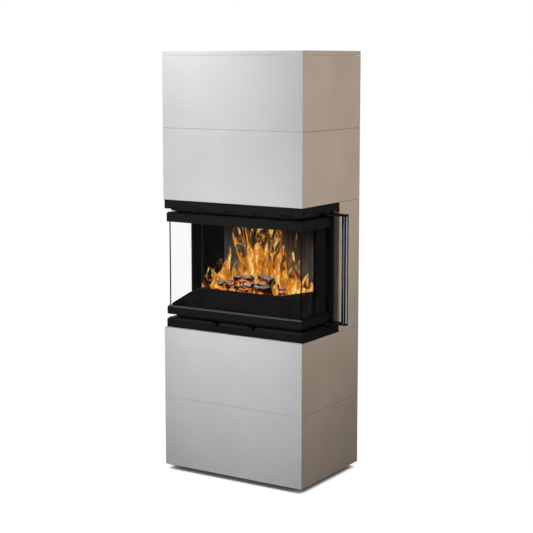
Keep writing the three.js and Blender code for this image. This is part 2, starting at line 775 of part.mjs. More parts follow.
// Base housing: an air chamber whose roof is the sill.
const chamberTop = sillTop - CORE_WALL;
const leverZ = frameTop - LEVER_NOTCH_DEPTH + LEVER_GAP;
const leverTop = leverZ + LEVER_HEIGHT;
const slotReach = LEVER_NOTCH_WIDTH / 2;
const leverSlots = [-1, 1].map((sign) => block(
  [sign * LEVER_OFFSET - slotReach, coreFront - 1, leverZ - LEVER_GAP / 2],
  [sign * LEVER_OFFSET + slotReach, coreFront + CORE_WALL + 1, leverTop + LEVER_GAP / 2],
));
// The closed lever stands at the notch's left end, and its damper lies over the port.
const leverRest = LEVER_WIDTH / 2 + LEVER_END_GAP - slotReach;
const damperRear = coreFront + LEVER_REAR;
const damperFront = damperRear - DAMPER_DEPTH;
const portStart = leverRest - DAMPER_WIDTH / 2 + PORT_LAP;
const portFront = damperRear - (DAMPER_DEPTH + PORT_DEPTH) / 2;
const airPorts = [-1, 1].map((sign) => block(
  [sign * LEVER_OFFSET + portStart, portFront, chamberTop - 1],
  [sign * LEVER_OFFSET + portStart + PORT_WIDTH, portFront + PORT_DEPTH, sillTop + 1],
));
const baseChamber = cut(
  prism(coreShape(0), frameBottom, sillTop),
  prism(coreShape(CORE_WALL), frameBottom - 1, chamberTop),
  ...leverSlots,
  ...airPorts,
);
const baseHousing = join(baseChamber, cut(hingeEar(lowerGapMiddle), rodHole));
add(insert, 'base_housing', baseHousing, BLACK_STEEL);

// Bottom frame: a bent channel with a bevelled upper edge and two lever notches.
const frameFront = front + FRAME_SETBACK_FRONT;
const frameSide = side - FRAME_SETBACK_SIDE;
const frameDepth = coreFront - frameFront - SEAT;
const bevelInset = SHEET * (Math.SQRT2 - 1);
const frameSection = [
  [0, 0],
  [0, BOTTOM_FRAME_HEIGHT - FRAME_BEVEL],
  [FRAME_BEVEL, BOTTOM_FRAME_HEIGHT],
  [frameDepth, BOTTOM_FRAME_HEIGHT],
  [frameDepth, BOTTOM_FRAME_HEIGHT - SHEET],
  [FRAME_BEVEL + bevelInset, BOTTOM_FRAME_HEIGHT - SHEET],
  [SHEET, BOTTOM_FRAME_HEIGHT - FRAME_BEVEL - bevelInset],
  [SHEET, SHEET],
  [frameDepth, SHEET],
  [frameDepth, 0],
];
const leverNotches = [-1, 1].map((sign) => block(
  [sign * LEVER_OFFSET - slotReach, frameFront - 1, frameTop - LEVER_NOTCH_DEPTH],
  [sign * LEVER_OFFSET + slotReach, coreFront, frameTop + 1],
));
const insertRear = stripFront - SEAT;
const bottomFrame = cut(
  sweep(frameSection, roundFront(frameSide, frameFront, insertRear), frameBottom),
  ...leverNotches,
);
add(insert, 'bottom_frame', bottomFrame, BLACK_STEEL);

// Top flange: a castellated angle on which the upper tiles stand.
const flangeSide = side - FLANGE_SETBACK;
const flangeFront = front + FLANGE_SETBACK;
const flangeLeg = flangeSide - coreSide - SEAT;
const flangeSection = [
  [0, 0],
  [0, FLANGE_HEIGHT],
  [flangeLeg, FLANGE_HEIGHT],
  [flangeLeg, FLANGE_HEIGHT - HEAVY_SHEET],
  [HEAVY_SHEET, FLANGE_HEIGHT - HEAVY_SHEET],
  [HEAVY_SHEET, 0],
];
const castellations = [];
for (let i = 0; i < NOTCH_COUNT_FRONT; i += 1) {
  const x = (i - (NOTCH_COUNT_FRONT - 1) / 2) * NOTCH_PITCH_FRONT;
  castellations.push(block(
    [x - NOTCH_WIDTH / 2, flangeFront - 1, flangeBottom - 1],
    [x + NOTCH_WIDTH / 2, flangeFront + HEAVY_SHEET + 1, flangeBottom + NOTCH_DEPTH],
  ));
}
for (let i = 0; i < NOTCH_COUNT_SIDE; i += 1) {
  const y = insertRear - NOTCH_FROM_REAR - i * NOTCH_PITCH_SIDE;
  castellations.push(block(
    [-flangeSide - 1, y - NOTCH_WIDTH / 2, flangeBottom - 1],
    [-flangeSide + HEAVY_SHEET + 1, y + NOTCH_WIDTH / 2, flangeBottom + NOTCH_DEPTH],
  ), block(
    [flangeSide - HEAVY_SHEET - 1, y - NOTCH_WIDTH / 2, flangeBottom - 1],
    [flangeSide + 1, y + NOTCH_WIDTH / 2, flangeBottom + NOTCH_DEPTH],
  ));
}
const notchedAngle = cut(
  sweep(flangeSection, roundFront(flangeSide, flangeFront, insertRear), flangeBottom),
  ...castellations,
);

// The skirt behind the castellations closes the gap above the door from view. It stands
// within the door's swing circle and ends before the upper hinge ear.
const skirtRear = pivotY - 1.5 * EAR_WIDTH;

/** Plan of the skirt's outer face, or of its inner face with an inset. */
function skirtShape(inset) {
  const x = flangeSide - SKIRT_SETBACK - inset;
  const y = flangeFront + SKIRT_SETBACK + inset;
  const radius = swingRadius - inset;
  const rear = skirtRear + inset;
  const shape = new THREE.Shape();
  shape.moveTo(-x, rear);
  shape.lineTo(-x, y);
  shape.absarc(
    pivotX, pivotY, radius,
    Math.asin((y - pivotY) / radius), Math.asin((rear - pivotY) / radius), false,
  );
  shape.closePath();
  return shape;
}

const skirtBottom = flangeBottom - SKIRT_DROP;
const skirtTop = openingTop - HEAVY_SHEET / 2;
const skirt = cut(
  prism(skirtShape(0), skirtBottom, skirtTop),
  prism(skirtShape(SHEET), skirtBottom - 1, skirtTop + 1),
  block([0, coreFront - SEAT, skirtBottom - 1], [side, back, skirtTop + 1]),
);
add(insert, 'top_flange', join(notchedAngle, skirt), BLACK_STEEL);

// Top housing ring, smoke hood and flue pipe.
const topRing = cut(
  prism(coreShape(0), topHousingBottom, topHousingTop),
  prism(coreShape(CORE_WALL), topHousingBottom - 1, topHousingTop + 1),
);
const topHousing = join(topRing, cut(hingeEar(upperGapMiddle), rodHole));
add(insert, 'top_housing', topHousing, BLACK_STEEL);

const hoodBottom = topHousingTop + SEAT;
const hoodPlateTop = hoodBottom + CORE_WALL;
const neckRadius = FLUE_RADIUS + SEAT;
const hoodTop = hoodPlateTop + HOOD_HEIGHT + FLUE_INSERTION;
const hoodCone = turned(
  [
    [HOOD_RADIUS - CORE_WALL, hoodBottom],
    [HOOD_RADIUS + CORE_WALL, hoodBottom],
    [HOOD_RADIUS + CORE_WALL, hoodPlateTop],
    [HOOD_RADIUS, hoodPlateTop],
    [neckRadius + SHEET, hoodPlateTop + HOOD_HEIGHT],
    [neckRadius + SHEET, hoodTop],
    [neckRadius, hoodTop],
    [neckRadius, hoodPlateTop + HOOD_HEIGHT],
    [neckRadius - SHEET, hoodPlateTop + HOOD_HEIGHT - SHEET],
  ],
  0,
  FLUE_Y,
);
const hoodOpening = upright(
  0, FLUE_Y, hoodBottom - 1, hoodPlateTop + 1, HOOD_RADIUS, FINE_ROUND,
);
const hoodPlate = cut(prism(coreShape(0), hoodBottom, hoodPlateTop), hoodOpening);
add(insert, 'smoke_hood', join(hoodPlate, hoodCone), INNER_STEEL);

const flueBottom = hoodPlateTop + HOOD_HEIGHT + SEAT;
const flueTop = stoveTop - FLUE_BELOW_TOP;
const beadMiddle = flueTop - FLUE_BEAD_DROP;
const fluePipe = turned(
  [
    [FLUE_RADIUS - FLUE_WALL, flueBottom],
    [FLUE_RADIUS, flueBottom],
    [FLUE_RADIUS, beadMiddle - 2 * FLUE_BEAD],
    [FLUE_RADIUS + FLUE_BEAD, beadMiddle],
    [FLUE_RADIUS, beadMiddle + 2 * FLUE_BEAD],
    [FLUE_RADIUS, flueTop],
    [FLUE_RADIUS - FLUE_WALL, flueTop],
  ],
  0,
  FLUE_Y,
);
add(insert, 'flue_pipe', fluePipe, FLUE_STEEL);

// Side walls: folded sheets whose front returns are the cheeks beside the fire.
const wallBottom = sillTop + SEAT;
const wallTop = topHousingBottom - SEAT;
for (const [sign, name] of [[-1, 'side_wall_left'], [1, 'side_wall_right']]) {
  const points = [
    [coreSide, cheekFace],
    [coreSide, coreRear - CORE_WALL - SEAT],
    [coreSide - HEAVY_SHEET, coreRear - CORE_WALL - SEAT],
    [coreSide - HEAVY_SHEET, cheekFace + HEAVY_SHEET],
    [cheekHalf, cheekFace + HEAVY_SHEET],
    [cheekHalf, cheekFace],
  ].map(([x, y]) => [sign * x, y]);
  add(insert, name, outward(prism(outline(points), wallBottom, wallTop)), BLACK_STEEL);
}
const backWall = block(
  [-coreSide, coreRear - CORE_WALL, wallBottom],
  [coreSide, coreRear, wallTop],
);
add(insert, 'back_wall', backWall, BLACK_STEEL);

// Linings: two plain boards, and a back board with upright ribs.
const liningTop = baffleBottom - SEAT;
const boardFront = cheekFace + HEAVY_SHEET + SEAT;
for (const [sign, name] of [[-1, 'lining_left'], [1, 'lining_right']]) {
  const inner = sign * cheekHalf;
  const outer = sign * (cheekHalf + LINING_THICKNESS);
  const board = block(
    [Math.min(inner, outer), boardFront, wallBottom],
    [Math.max(inner, outer), backLiningRear, liningTop],
  );
  add(insert, name, board, LINING);
}
const liningHalf = cheekHalf - SEAT;
const ribPitch = (2 * liningHalf) / RIB_COUNT;
const ribbedOutline = [[-liningHalf, backLiningRear]];
for (let i = 0; i < RIB_COUNT; i += 1) {
  const start = -liningHalf + i * ribPitch;
  const land = (ribPitch - 2 * RIB_FLANK) / 2;
  ribbedOutline.push([start, ribFace + RIB_DEPTH]);
  ribbedOutline.push([start + land / 2, ribFace + RIB_DEPTH]);
  ribbedOutline.push([start + land / 2 + RIB_FLANK, ribFace]);
  ribbedOutline.push([start + 1.5 * land + RIB_FLANK, ribFace]);
  ribbedOutline.push([start + 1.5 * land + 2 * RIB_FLANK, ribFace + RIB_DEPTH]);
}
ribbedOutline.push([liningHalf, ribFace + RIB_DEPTH], [liningHalf, backLiningRear]);
const ribbedBoard = outward(prism(outline(ribbedOutline), hearthTop + SEAT, liningTop));
add(insert, 'lining_back', ribbedBoard, LINING);

const hearthFloor = block(
  [-liningHalf, coreFront + HEARTH_FRONT, wallBottom],
  [liningHalf, backLiningRear, hearthTop],
);
add(insert, 'hearth_floor', hearthFloor, LINING);

const baffle = block(
  [-cheekHalf - LINING_THICKNESS / 2, backLiningRear - BAFFLE_DEPTH, baffleBottom],
  [cheekHalf + LINING_THICKNESS / 2, backLiningRear, baffleBottom + BAFFLE_THICKNESS],
);
const cheekRelief = [-1, 1].map((sign) => block(
  [Math.min(sign * (cheekHalf - SEAT), sign * coreSide), cheekFace - SEAT - BAFFLE_DEPTH,
    baffleBottom - 1],
  [Math.max(sign * (cheekHalf - SEAT), sign * coreSide), boardFront, baffleBottom
    + BAFFLE_THICKNESS + 1],
));
add(insert, 'baffle', cut(baffle, ...cheekRelief), LINING);

// Ember guard: a front plate between two folded wings, seated on the sill.
const guardTop = sillTop + GUARD_HEIGHT;
const guardFoot = sillTop + GUARD_PLATE + SEAT;
const rimY = doorFront + GUARD_RIM_FROM_FACE;
const footFaceY = doorFront + GUARD_FOOT_FROM_FACE;
const wingRear = cheekFace - SEAT;
const shoulderZ = guardTop - GUARD_SHOULDER_DROP;
const footHalf = coreSide - GUARD_SIDE_GAP;
// The right wing's corner is cut back for the door's swing. The left wing reaches over the
// bottom rail into the corner of the glass.
const latchCorner = [
  footHalf - GUARD_CORNER_CUT,
  coreFront + GUARD_SIDE_GAP + GUARD_CORNER_CUT / 2,
  guardFoot,
];
const hingeTip = [
  -paneOuter + GLASS_THICKNESS + GUARD_TIP_GAP,
  paneBack + GUARD_TIP_GAP,
  glassBottom + GUARD_TIP_RISE + GUARD_PLATE,
];
const frontPlateStep = [0, GUARD_PLATE, 0];
const frontPlate = thickSkin(
  [
    [-GUARD_FOOT_HALF + GUARD_SEAM, footFaceY, wallBottom],
    [GUARD_FOOT_HALF - GUARD_SEAM, footFaceY, wallBottom],
    [GUARD_RIM_HALF - GUARD_SEAM, rimY, guardTop],
    [-GUARD_RIM_HALF + GUARD_SEAM, rimY, guardTop],
  ],
  [[0, 1, 2], [0, 2, 3]],
  frontPlateStep,
);
add(insert, 'ember_guard_front', frontPlate, CAST_IRON);
for (const [sign, name] of [[-1, 'ember_guard_left'], [1, 'ember_guard_right']]) {
  const isLatchSide = sign > 0;
  const points = [
    [sign * GUARD_RIM_REAR_HALF, wingRear, guardTop],
    [sign * GUARD_RIM_HALF, rimY, guardTop],
    [sign * GUARD_SHOULDER_HALF, (rimY + footFaceY) / 2, shoulderZ],
    isLatchSide ? latchCorner : hingeTip,
    [sign * footHalf, wingRear, guardFoot],
    [sign * GUARD_FOOT_HALF, footFaceY, guardFoot],
    [sign * footHalf, pivotY - DOOR_DEPTH / 2, guardFoot],
  ];
  const skin = [[0, 1, 2], [1, 5, 2], [5, 3, 2], [0, 2, 6], [2, 3, 6], [0, 6, 4]];
  const wing = thickSkin(points, skin, [0, GUARD_PLATE, -GUARD_PLATE]);
  const swing = upright(pivotX, pivotY, sillTop, guardTop + 1, swingRadius, 4 * FINE_ROUND);
  const rearLimit = block(
    [-side, front, sillTop],
    [side, wingRear, guardTop + 1],
  );
  add(insert, name, common(common(wing, rearLimit), swing), CAST_IRON);
}

/** Elbow's middle line: straight down, a quarter bend, straight out to the back. */
class InletLine extends THREE.Curve {
  getPoint(t, target = new THREE.Vector3()) {
    const outRun = back - INLET_Y - INLET_BEND;
    const bendRun = (Math.PI / 2) * INLET_BEND;
    const run = t * (INLET_DROP + bendRun + outRun);
    if (run <= INLET_DROP) return target.set(0, INLET_Y, cradleTop - run);
    if (run >= INLET_DROP + bendRun) {
      const out = run - INLET_DROP - bendRun;
      return target.set(0, INLET_Y + INLET_BEND + out, inletAxisZ);
    }
    const angle = (run - INLET_DROP) / INLET_BEND;
    return target.set(
      0,
      INLET_Y + INLET_BEND * (1 - Math.cos(angle)),
      cradleTop - INLET_DROP - INLET_BEND * Math.sin(angle),
    );
  }
}

const inletSection = new THREE.Shape();
inletSection.absarc(0, 0, INLET_RADIUS, 0, 2 * Math.PI, false);
const inletBore = new THREE.Path();
inletBore.absarc(0, 0, INLET_RADIUS - INLET_WALL, 0, 2 * Math.PI, true);
inletSection.holes.push(inletBore);
const inletElbow = new THREE.ExtrudeGeometry(inletSection, {
  extrudePath: new InletLine(),
  steps: 20,
  curveSegments: 12,
  bevelEnabled: false,
});
add(insert, 'air_inlet_elbow', outward(inletElbow), FLUE_STEEL);

// Latch keeper: a strip on the right side wall with two forks, open towards the front.
const latchHeights = [glassBottom + LATCH_FROM_RAIL, glassTop - LATCH_FROM_RAIL];
const keeperFront = doorRear + KEEPER_FROM_DOOR;
const keeperRear = keeperFront + KEEPER_DEPTH;
const keeperInner = coreSide + SEAT;
const keeperOuter = keeperInner + KEEPER_REACH;
const forkGap = LATCH_TONGUE_HEIGHT / 2 + LATCH_GAP;
const forks = latchHeights.flatMap((z) => [
  block([keeperInner, keeperFront, z + forkGap], [keeperOuter, keeperRear, z + forkGap + SHEET]),
  block([keeperInner, keeperFront, z - forkGap - SHEET], [keeperOuter, keeperRear, z - forkGap]),
]);
const keeperStrip = block(
  [keeperInner, keeperFront, latchHeights[0] - forkGap - SHEET],
  [keeperInner + SHEET, keeperRear, latchHeights[1] + forkGap + SHEET],
);
add(insert, 'latch_keeper', join(keeperStrip, ...forks), INNER_STEEL);

// Ember bed and logs.
const emberBottom = hearthTop + SEAT;
const emberTop = emberBottom + EMBER_HEIGHT;
const emberBed = turned(
  [
    [0, emberBottom],
    [EMBER_HALF_LENGTH, emberBottom],
    [EMBER_HALF_LENGTH * 0.97, emberBottom + EMBER_HEIGHT * 0.35],
    [EMBER_HALF_LENGTH * 0.86, emberBottom + EMBER_HEIGHT * 0.75],
    [EMBER_HALF_LENGTH * 0.7, emberTop],
    [0, emberTop],
  ],
  0,
  0,
  ROUND,
).scale(1, EMBER_HALF_WIDTH / EMBER_HALF_LENGTH, 1).translate(0, EMBER_Y, 0);
add(insert, 'ember_bed', emberBed, EMBERS);

/** Round log lying at a height, turned in plan. */
function log(x, y, z, degrees, length) {
  const bar = new THREE.CylinderGeometry(LOG_RADIUS * 0.94, LOG_RADIUS, length, 12);
  bar.rotateZ(Math.PI / 2).rotateZ(THREE.MathUtils.degToRad(degrees));
  return bar.translate(x, y, z);
}

const lowerLogZ = emberTop + SEAT + LOG_RADIUS;
const upperLogZ = lowerLogZ + LOG_STACK * LOG_RADIUS;
const logs = [
  log(-8, EMBER_Y - LOG_SPREAD, lowerLogZ, LOG_TURN, LOG_LENGTH),
  log(10, EMBER_Y + LOG_SPREAD, lowerLogZ, -LOG_TURN / 2, LOG_LENGTH),
  log(0, EMBER_Y, upperLogZ, TOP_LOG_TURN, LOG_LENGTH * 0.6),
];
add(insert, 'log_stack', join(...logs), CHARRED_WOOD);

// ---------------------------------------------------------------- door

const doorPath = roundFront(doorSide, doorFront, doorRear);
const railBevel = SHEET * (Math.SQRT2 - 1);
const topRailSection = [
  [0, 0],
  [0, TOP_RAIL_HEIGHT - RAIL_TOP_BEVEL],
  [RAIL_TOP_BEVEL, TOP_RAIL_HEIGHT],
  [RAIL_DEPTH, TOP_RAIL_HEIGHT],
  [RAIL_DEPTH, TOP_RAIL_HEIGHT - RAIL_RETURN],
  [RAIL_DEPTH - SHEET, TOP_RAIL_HEIGHT - RAIL_RETURN],
  [RAIL_DEPTH - SHEET, TOP_RAIL_HEIGHT - SHEET],
  [RAIL_TOP_BEVEL + railBevel, TOP_RAIL_HEIGHT - SHEET],
  [SHEET, TOP_RAIL_HEIGHT - RAIL_TOP_BEVEL - railBevel],
  [SHEET, SHEET],
  [GLASS_LIP, SHEET],
  [GLASS_LIP, 0],
];
const bottomRailSection = [
  [RAIL_CHAMFER, 0],
  [0, RAIL_CHAMFER],
  [0, BOTTOM_RAIL_HEIGHT - RAIL_SILL_BEVEL],
  [RAIL_SILL_BEVEL, BOTTOM_RAIL_HEIGHT],
  [GLASS_LIP, BOTTOM_RAIL_HEIGHT],
  [GLASS_LIP, BOTTOM_RAIL_HEIGHT - SHEET],
  [SHEET, BOTTOM_RAIL_HEIGHT - SHEET - GLASS_LIP + SHEET],
  [SHEET, RAIL_CHAMFER + railBevel],
  [RAIL_CHAMFER + railBevel, SHEET],
  [RAIL_DEPTH - SHEET, SHEET],
  [RAIL_DEPTH - SHEET, RAIL_RETURN],
  [RAIL_DEPTH, RAIL_RETURN],
  [RAIL_DEPTH, 0],
];
const shaftBore = SHAFT_RADIUS + SHAFT_CLEARANCE;
const shaftHoles = upright(shaftX, shaftY, doorBottom - 1, doorTop + 1, shaftBore, ROUND);
const topRail = cut(sweep(topRailSection, doorPath, glassTop), rodHole, shaftHoles);
add(door, 'door_rail_top', topRail, BLACK_STEEL);
const bottomRail = cut(sweep(bottomRailSection, doorPath, doorBottom), rodHole, shaftHoles);
add(door, 'door_rail_bottom', bottomRail, BLACK_STEEL);

// Stiles: folded channels between the rails. The latch stile has slots for the tongues.
const stileBottom = glassBottom + SEAT;
const stileTop = glassTop - SEAT;

/** Upright channel at one rear end of the door. */
function stile(sign, width) {
  const frontEdge = doorRear - width;
  const points = [
    [0, frontEdge],
    [GLASS_LIP, frontEdge],
    [GLASS_LIP, frontEdge + SHEET],
    [SHEET, frontEdge + SHEET],
    [SHEET, doorRear - SHEET],
    [RAIL_DEPTH - SHEET, doorRear - SHEET],
    [RAIL_DEPTH - SHEET, doorRear - STILE_LEG],
    [RAIL_DEPTH, doorRear - STILE_LEG],
    [RAIL_DEPTH, doorRear],
    [0, doorRear],
  ].map(([depth, y]) => [sign * (doorSide - depth), y]);
  return outward(prism(outline(points), stileBottom, stileTop));
}

const tongueSlots = latchHeights.map((z) => block(
  [doorSide - RAIL_DEPTH + SHEET, doorRear - SHEET - 1, z - forkGap - LATCH_GAP],
  [doorSide - SHEET, doorRear + 1, z + forkGap + LATCH_GAP],
));
add(door, 'hinge_stile', stile(-1, HINGE_STILE_WIDTH), BLACK_STEEL);
add(door, 'latch_stile', cut(stile(1, LATCH_STILE_WIDTH), ...tongueSlots), BLACK_STEEL);

// Glass: a front pane that covers the corners and two side panes behind it.
const paneBottom = glassBottom - GLASS_OVERLAP;
const paneTop = glassTop + GLASS_OVERLAP;
const frontPane = block([-paneOuter, paneFront, paneBottom], [paneOuter, paneBack, paneTop]);
add(door, 'glass_front', frontPane, GLASS);
for (const [sign, name, width] of [
  [-1, 'glass_left', HINGE_STILE_WIDTH],
  [1, 'glass_right', LATCH_STILE_WIDTH],
]) {
  const outer = sign * paneOuter;
  const inner = sign * (paneOuter - GLASS_THICKNESS);
  const rear = doorRear - width + GLASS_OVERLAP - 2;
  const pane = block(
    [Math.min(outer, inner), paneBack + GLASS_JOINT, paneBottom],
    [Math.max(outer, inner), rear, paneTop],
  );
  add(door, name, pane, GLASS);
}

// Retaining frame: bent strips that hold the panes against the lips of rails and stiles.
const retainerDepth = paneDepth + GLASS_THICKNESS + SEAT;
const retainerBack = RAIL_DEPTH - SHEET - SEAT;
const leftBattenFront = doorRear - HINGE_STILE_WIDTH + BATTEN_INSET;
const rightBattenFront = doorRear - LATCH_STILE_WIDTH + BATTEN_INSET;
const retainerPath = roundFront(
  doorSide, doorFront, leftBattenFront + BATTEN_WIDTH, rightBattenFront + BATTEN_WIDTH,
);
const topStrip = [
  [retainerDepth, 0],
  [retainerDepth, TOP_RAIL_HEIGHT - SHEET - SEAT],
  [retainerBack, TOP_RAIL_HEIGHT - SHEET - SEAT],
  [retainerBack, TOP_RAIL_HEIGHT - 2 * SHEET],
  [retainerDepth + SHEET, TOP_RAIL_HEIGHT - 2 * SHEET],
  [retainerDepth + SHEET, 0],
];
const bottomStrip = [
  [retainerDepth, BOTTOM_RAIL_HEIGHT],
  [retainerDepth, SHEET + SEAT],
  [retainerBack, SHEET + SEAT],
  [retainerBack, 2 * SHEET],
  [retainerDepth + SHEET, 2 * SHEET],
  [retainerDepth + SHEET, BOTTOM_RAIL_HEIGHT],
];
const battens = [[-1, leftBattenFront], [1, rightBattenFront]].map(([sign, y]) => {
  const outer = sign * (doorSide - retainerDepth);
  const inner = sign * (doorSide - retainerDepth - SHEET);
  return block(
    [Math.min(outer, inner), y, glassBottom - SHEET],
    [Math.max(outer, inner), y + BATTEN_WIDTH, glassTop + SHEET],
  );
});
const retainingFrame = join(
  sweep(topStrip, retainerPath, glassTop),
  sweep(bottomStrip, retainerPath, doorBottom),
  ...battens,
);
add(door, 'glass_retaining_frame', retainingFrame, BLACK_STEEL);

// Rope gasket round the door's inner edge.
const gasketStart = RAIL_DEPTH + SEAT;
const gasketPath = roundFront(doorSide, doorFront, pivotY);
const ropeSection = [
  [gasketStart, 1],
  [gasketStart, GASKET_WIDTH - 1],
  [gasketDepth - 1, GASKET_WIDTH - 1],
  [gasketDepth, GASKET_WIDTH / 2],
  [gasketDepth - 1, 1],
];
const sideRopes = [-1, 1].map((sign) => {
  const outer = sign * (doorSide - gasketStart);
  const inner = sign * (doorSide - gasketDepth + 1);
  return block(
    [Math.min(outer, inner), pivotY - GASKET_WIDTH, doorBottom + 2],
    [Math.max(outer, inner), pivotY - SEAT, doorTop - 2],
  );
});
const gasket = join(
  sweep(ropeSection, gasketPath, doorBottom + 1),
  sweep(ropeSection, gasketPath, doorTop - GASKET_WIDTH - 1),
  ...sideRopes,
);
add(door, 'door_gasket', gasket, ROPE);

// Hinge rod through both rails and ears, with a collar between each rail and its ear.
const lowerEarTop = lowerGapMiddle + EAR_THICKNESS / 2;
const upperEarBottom = upperGapMiddle - EAR_THICKNESS / 2;
const hingeRod = turned(
  [
    [0, lowerEarTop - EAR_THICKNESS],
    [ROD_RADIUS, lowerEarTop - EAR_THICKNESS],
    [ROD_RADIUS, lowerEarTop + SEAT],
    [COLLAR_RADIUS, lowerEarTop + SEAT],
    [COLLAR_RADIUS, doorBottom - SEAT],
    [ROD_RADIUS, doorBottom - SEAT],
    [ROD_RADIUS, doorTop + SEAT],
    [COLLAR_RADIUS, doorTop + SEAT],
    [COLLAR_RADIUS, upperEarBottom - SEAT],
    [ROD_RADIUS, upperEarBottom - SEAT],
    [ROD_RADIUS, upperEarBottom + EAR_THICKNESS],
    [0, upperEarBottom + EAR_THICKNESS],
  ],
  pivotX,
  pivotY,
  ROUND / 2,
);
add(door, 'hinge_rod', hingeRod, INNER_STEEL);

// ---------------------------------------------------------------- handle and latch

/** Plan of a flat arm that sweeps from the latch shaft out to the bar. */
function armShape() {
  const shape = new THREE.Shape();
  shape.moveTo(shaftX - ARM_HUB_RADIUS, shaftY);
  shape.absarc(shaftX, shaftY, ARM_HUB_RADIUS, Math.PI, Math.PI / 2, true);
  shape.quadraticCurveTo((shaftX + barX) / 2, shaftY + ARM_HUB_RADIUS, barX, barY + BAR_RADIUS);
  shape.absarc(barX, barY, BAR_RADIUS, Math.PI / 2, -Math.PI / 2, true);
  shape.quadraticCurveTo(
    (doorSide + barX) / 2, barY - BAR_RADIUS, doorSide - ARM_CORNER, shaftY - ARM_ROOT,
  );
  shape.lineTo(doorSide - SHAFT_RADIUS, shaftY - ARM_ROOT + ARM_CORNER);
  shape.closePath();
  return shape;
}

const armLower = [lowerGapMiddle - ARM_THICKNESS / 2, lowerGapMiddle + ARM_THICKNESS / 2];
const armUpper = [upperGapMiddle - ARM_THICKNESS / 2, upperGapMiddle + ARM_THICKNESS / 2];
const arms = [armLower, armUpper].map(([z0, z1]) => outward(prism(armShape(), z0, z1, 8)));

const barBottom = armLower[1] + SEAT;
const barTop = armUpper[0] - SEAT;
const handleBar = turned(
  [
    [0, barBottom],
    [BAR_RADIUS - 1, barBottom],
    [BAR_RADIUS, barBottom + 1],
    [BAR_RADIUS, barTop - 1],
    [BAR_RADIUS - 1, barTop],
    [0, barTop],
  ],
  barX,
  barY,
  ROUND,
);
add(handle, 'handle_bar', handleBar, POLISHED_STEEL);

const tongueAngle = Math.atan2(TONGUE_REACH, -TONGUE_LEAN);
const tongues = latchHeights.map((z) => {
  const half = LATCH_TONGUE_HEIGHT / 2;
  const length = Math.hypot(TONGUE_REACH, TONGUE_LEAN);
  const bar = block([0, -LATCH_TONGUE_WIDTH / 2, -half], [length, LATCH_TONGUE_WIDTH / 2, half]);
  return bar.rotateZ(tongueAngle).translate(shaftX, shaftY, z);
});
const latchShaft = upright(
  shaftX, shaftY, armLower[0] + 1, armUpper[1] - 1, SHAFT_RADIUS, ROUND / 2,
);
add(handle, 'handle_crank', join(latchShaft, ...arms, ...tongues), BLACK_STEEL);

// ---------------------------------------------------------------- air levers

for (const [sign, name] of [[-1, 'air_lever_primary'], [1, 'air_lever_secondary']]) {
  const x = sign * LEVER_OFFSET + leverRest;
  const half = LEVER_WIDTH / 2;
  const damperTop = chamberTop - SEAT;
  const lever = join(
    block([x - half, frameFront - LEVER_NOSE, leverZ], [x + half, damperRear, leverTop]),
    block([x - half, damperRear - half, leverZ], [x + half, damperRear, damperTop]),
    block(
      [x - DAMPER_WIDTH / 2, damperFront, damperTop - DAMPER_THICKNESS],
      [x + DAMPER_WIDTH / 2, damperRear, damperTop],
    ),
  );
  add(airLevers, name, lever, INNER_STEEL);
}

// ---------------------------------------------------------------- assembly

door.add(handle);
const stove = new THREE.Group();
stove.name = 'tiled_stove';
stove.add(casing, insert, door, airLevers);
stove.position.x = casingShift;

export default stove;
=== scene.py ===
"""Dresses the tiled stove with its finishes, its fire and a plain studio.

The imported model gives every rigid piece. This script adds the flames and the coals, replaces
the handle's bar and the stack of logs with finer ones, gives each piece its material, and sets
the lights, the floor and the camera.
"""

import logging
import math
import random
from dataclasses import dataclass
from enum import Enum

import bmesh
import bpy
from mathutils import Matrix, Vector, noise


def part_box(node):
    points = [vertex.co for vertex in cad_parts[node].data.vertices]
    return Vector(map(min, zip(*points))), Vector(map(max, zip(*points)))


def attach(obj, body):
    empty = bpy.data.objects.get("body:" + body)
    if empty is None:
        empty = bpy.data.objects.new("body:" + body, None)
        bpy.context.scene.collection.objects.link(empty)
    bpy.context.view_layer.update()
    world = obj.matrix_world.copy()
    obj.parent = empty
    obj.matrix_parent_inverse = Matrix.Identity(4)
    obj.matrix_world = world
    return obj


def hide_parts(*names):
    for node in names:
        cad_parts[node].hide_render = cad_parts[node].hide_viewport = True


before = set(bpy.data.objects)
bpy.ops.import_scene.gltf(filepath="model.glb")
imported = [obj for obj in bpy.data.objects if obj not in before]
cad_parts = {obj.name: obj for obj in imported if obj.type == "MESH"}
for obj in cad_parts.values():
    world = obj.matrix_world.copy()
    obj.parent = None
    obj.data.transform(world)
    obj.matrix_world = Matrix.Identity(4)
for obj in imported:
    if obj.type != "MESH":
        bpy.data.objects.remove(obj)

LOG = logging.getLogger("tiled_stove")
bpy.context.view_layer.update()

Colour = tuple[float, float, float]
Point = tuple[float, float, float]
Span = tuple[float, float]
Socket = bpy.types.NodeSocket
Value = Socket | float | tuple

BLACK = (0.0, 0.0, 0.0, 1.0)
WHITE = (1.0, 1.0, 1.0, 1.0)
NOISE_SPAN = (0.3, 0.7)  # nearly all values of a noise lie in it
MIX_INPUTS = (0, 6, 7)  # a Mix node's share and its two colours
MIX_COLOUR = 2  # its colour output
BEVEL_SAMPLES = 6
OPEN_SAMPLES = 8
SHARP_ANGLE = 40.0  # degrees, past which an edge stays sharp
SAME_PLACE = 0.00001  # metres, below which two places count as one


class Body(Enum):
    """The bodies that the new pieces ride on."""

    ROOT = "root"
    HANDLE = "handle"


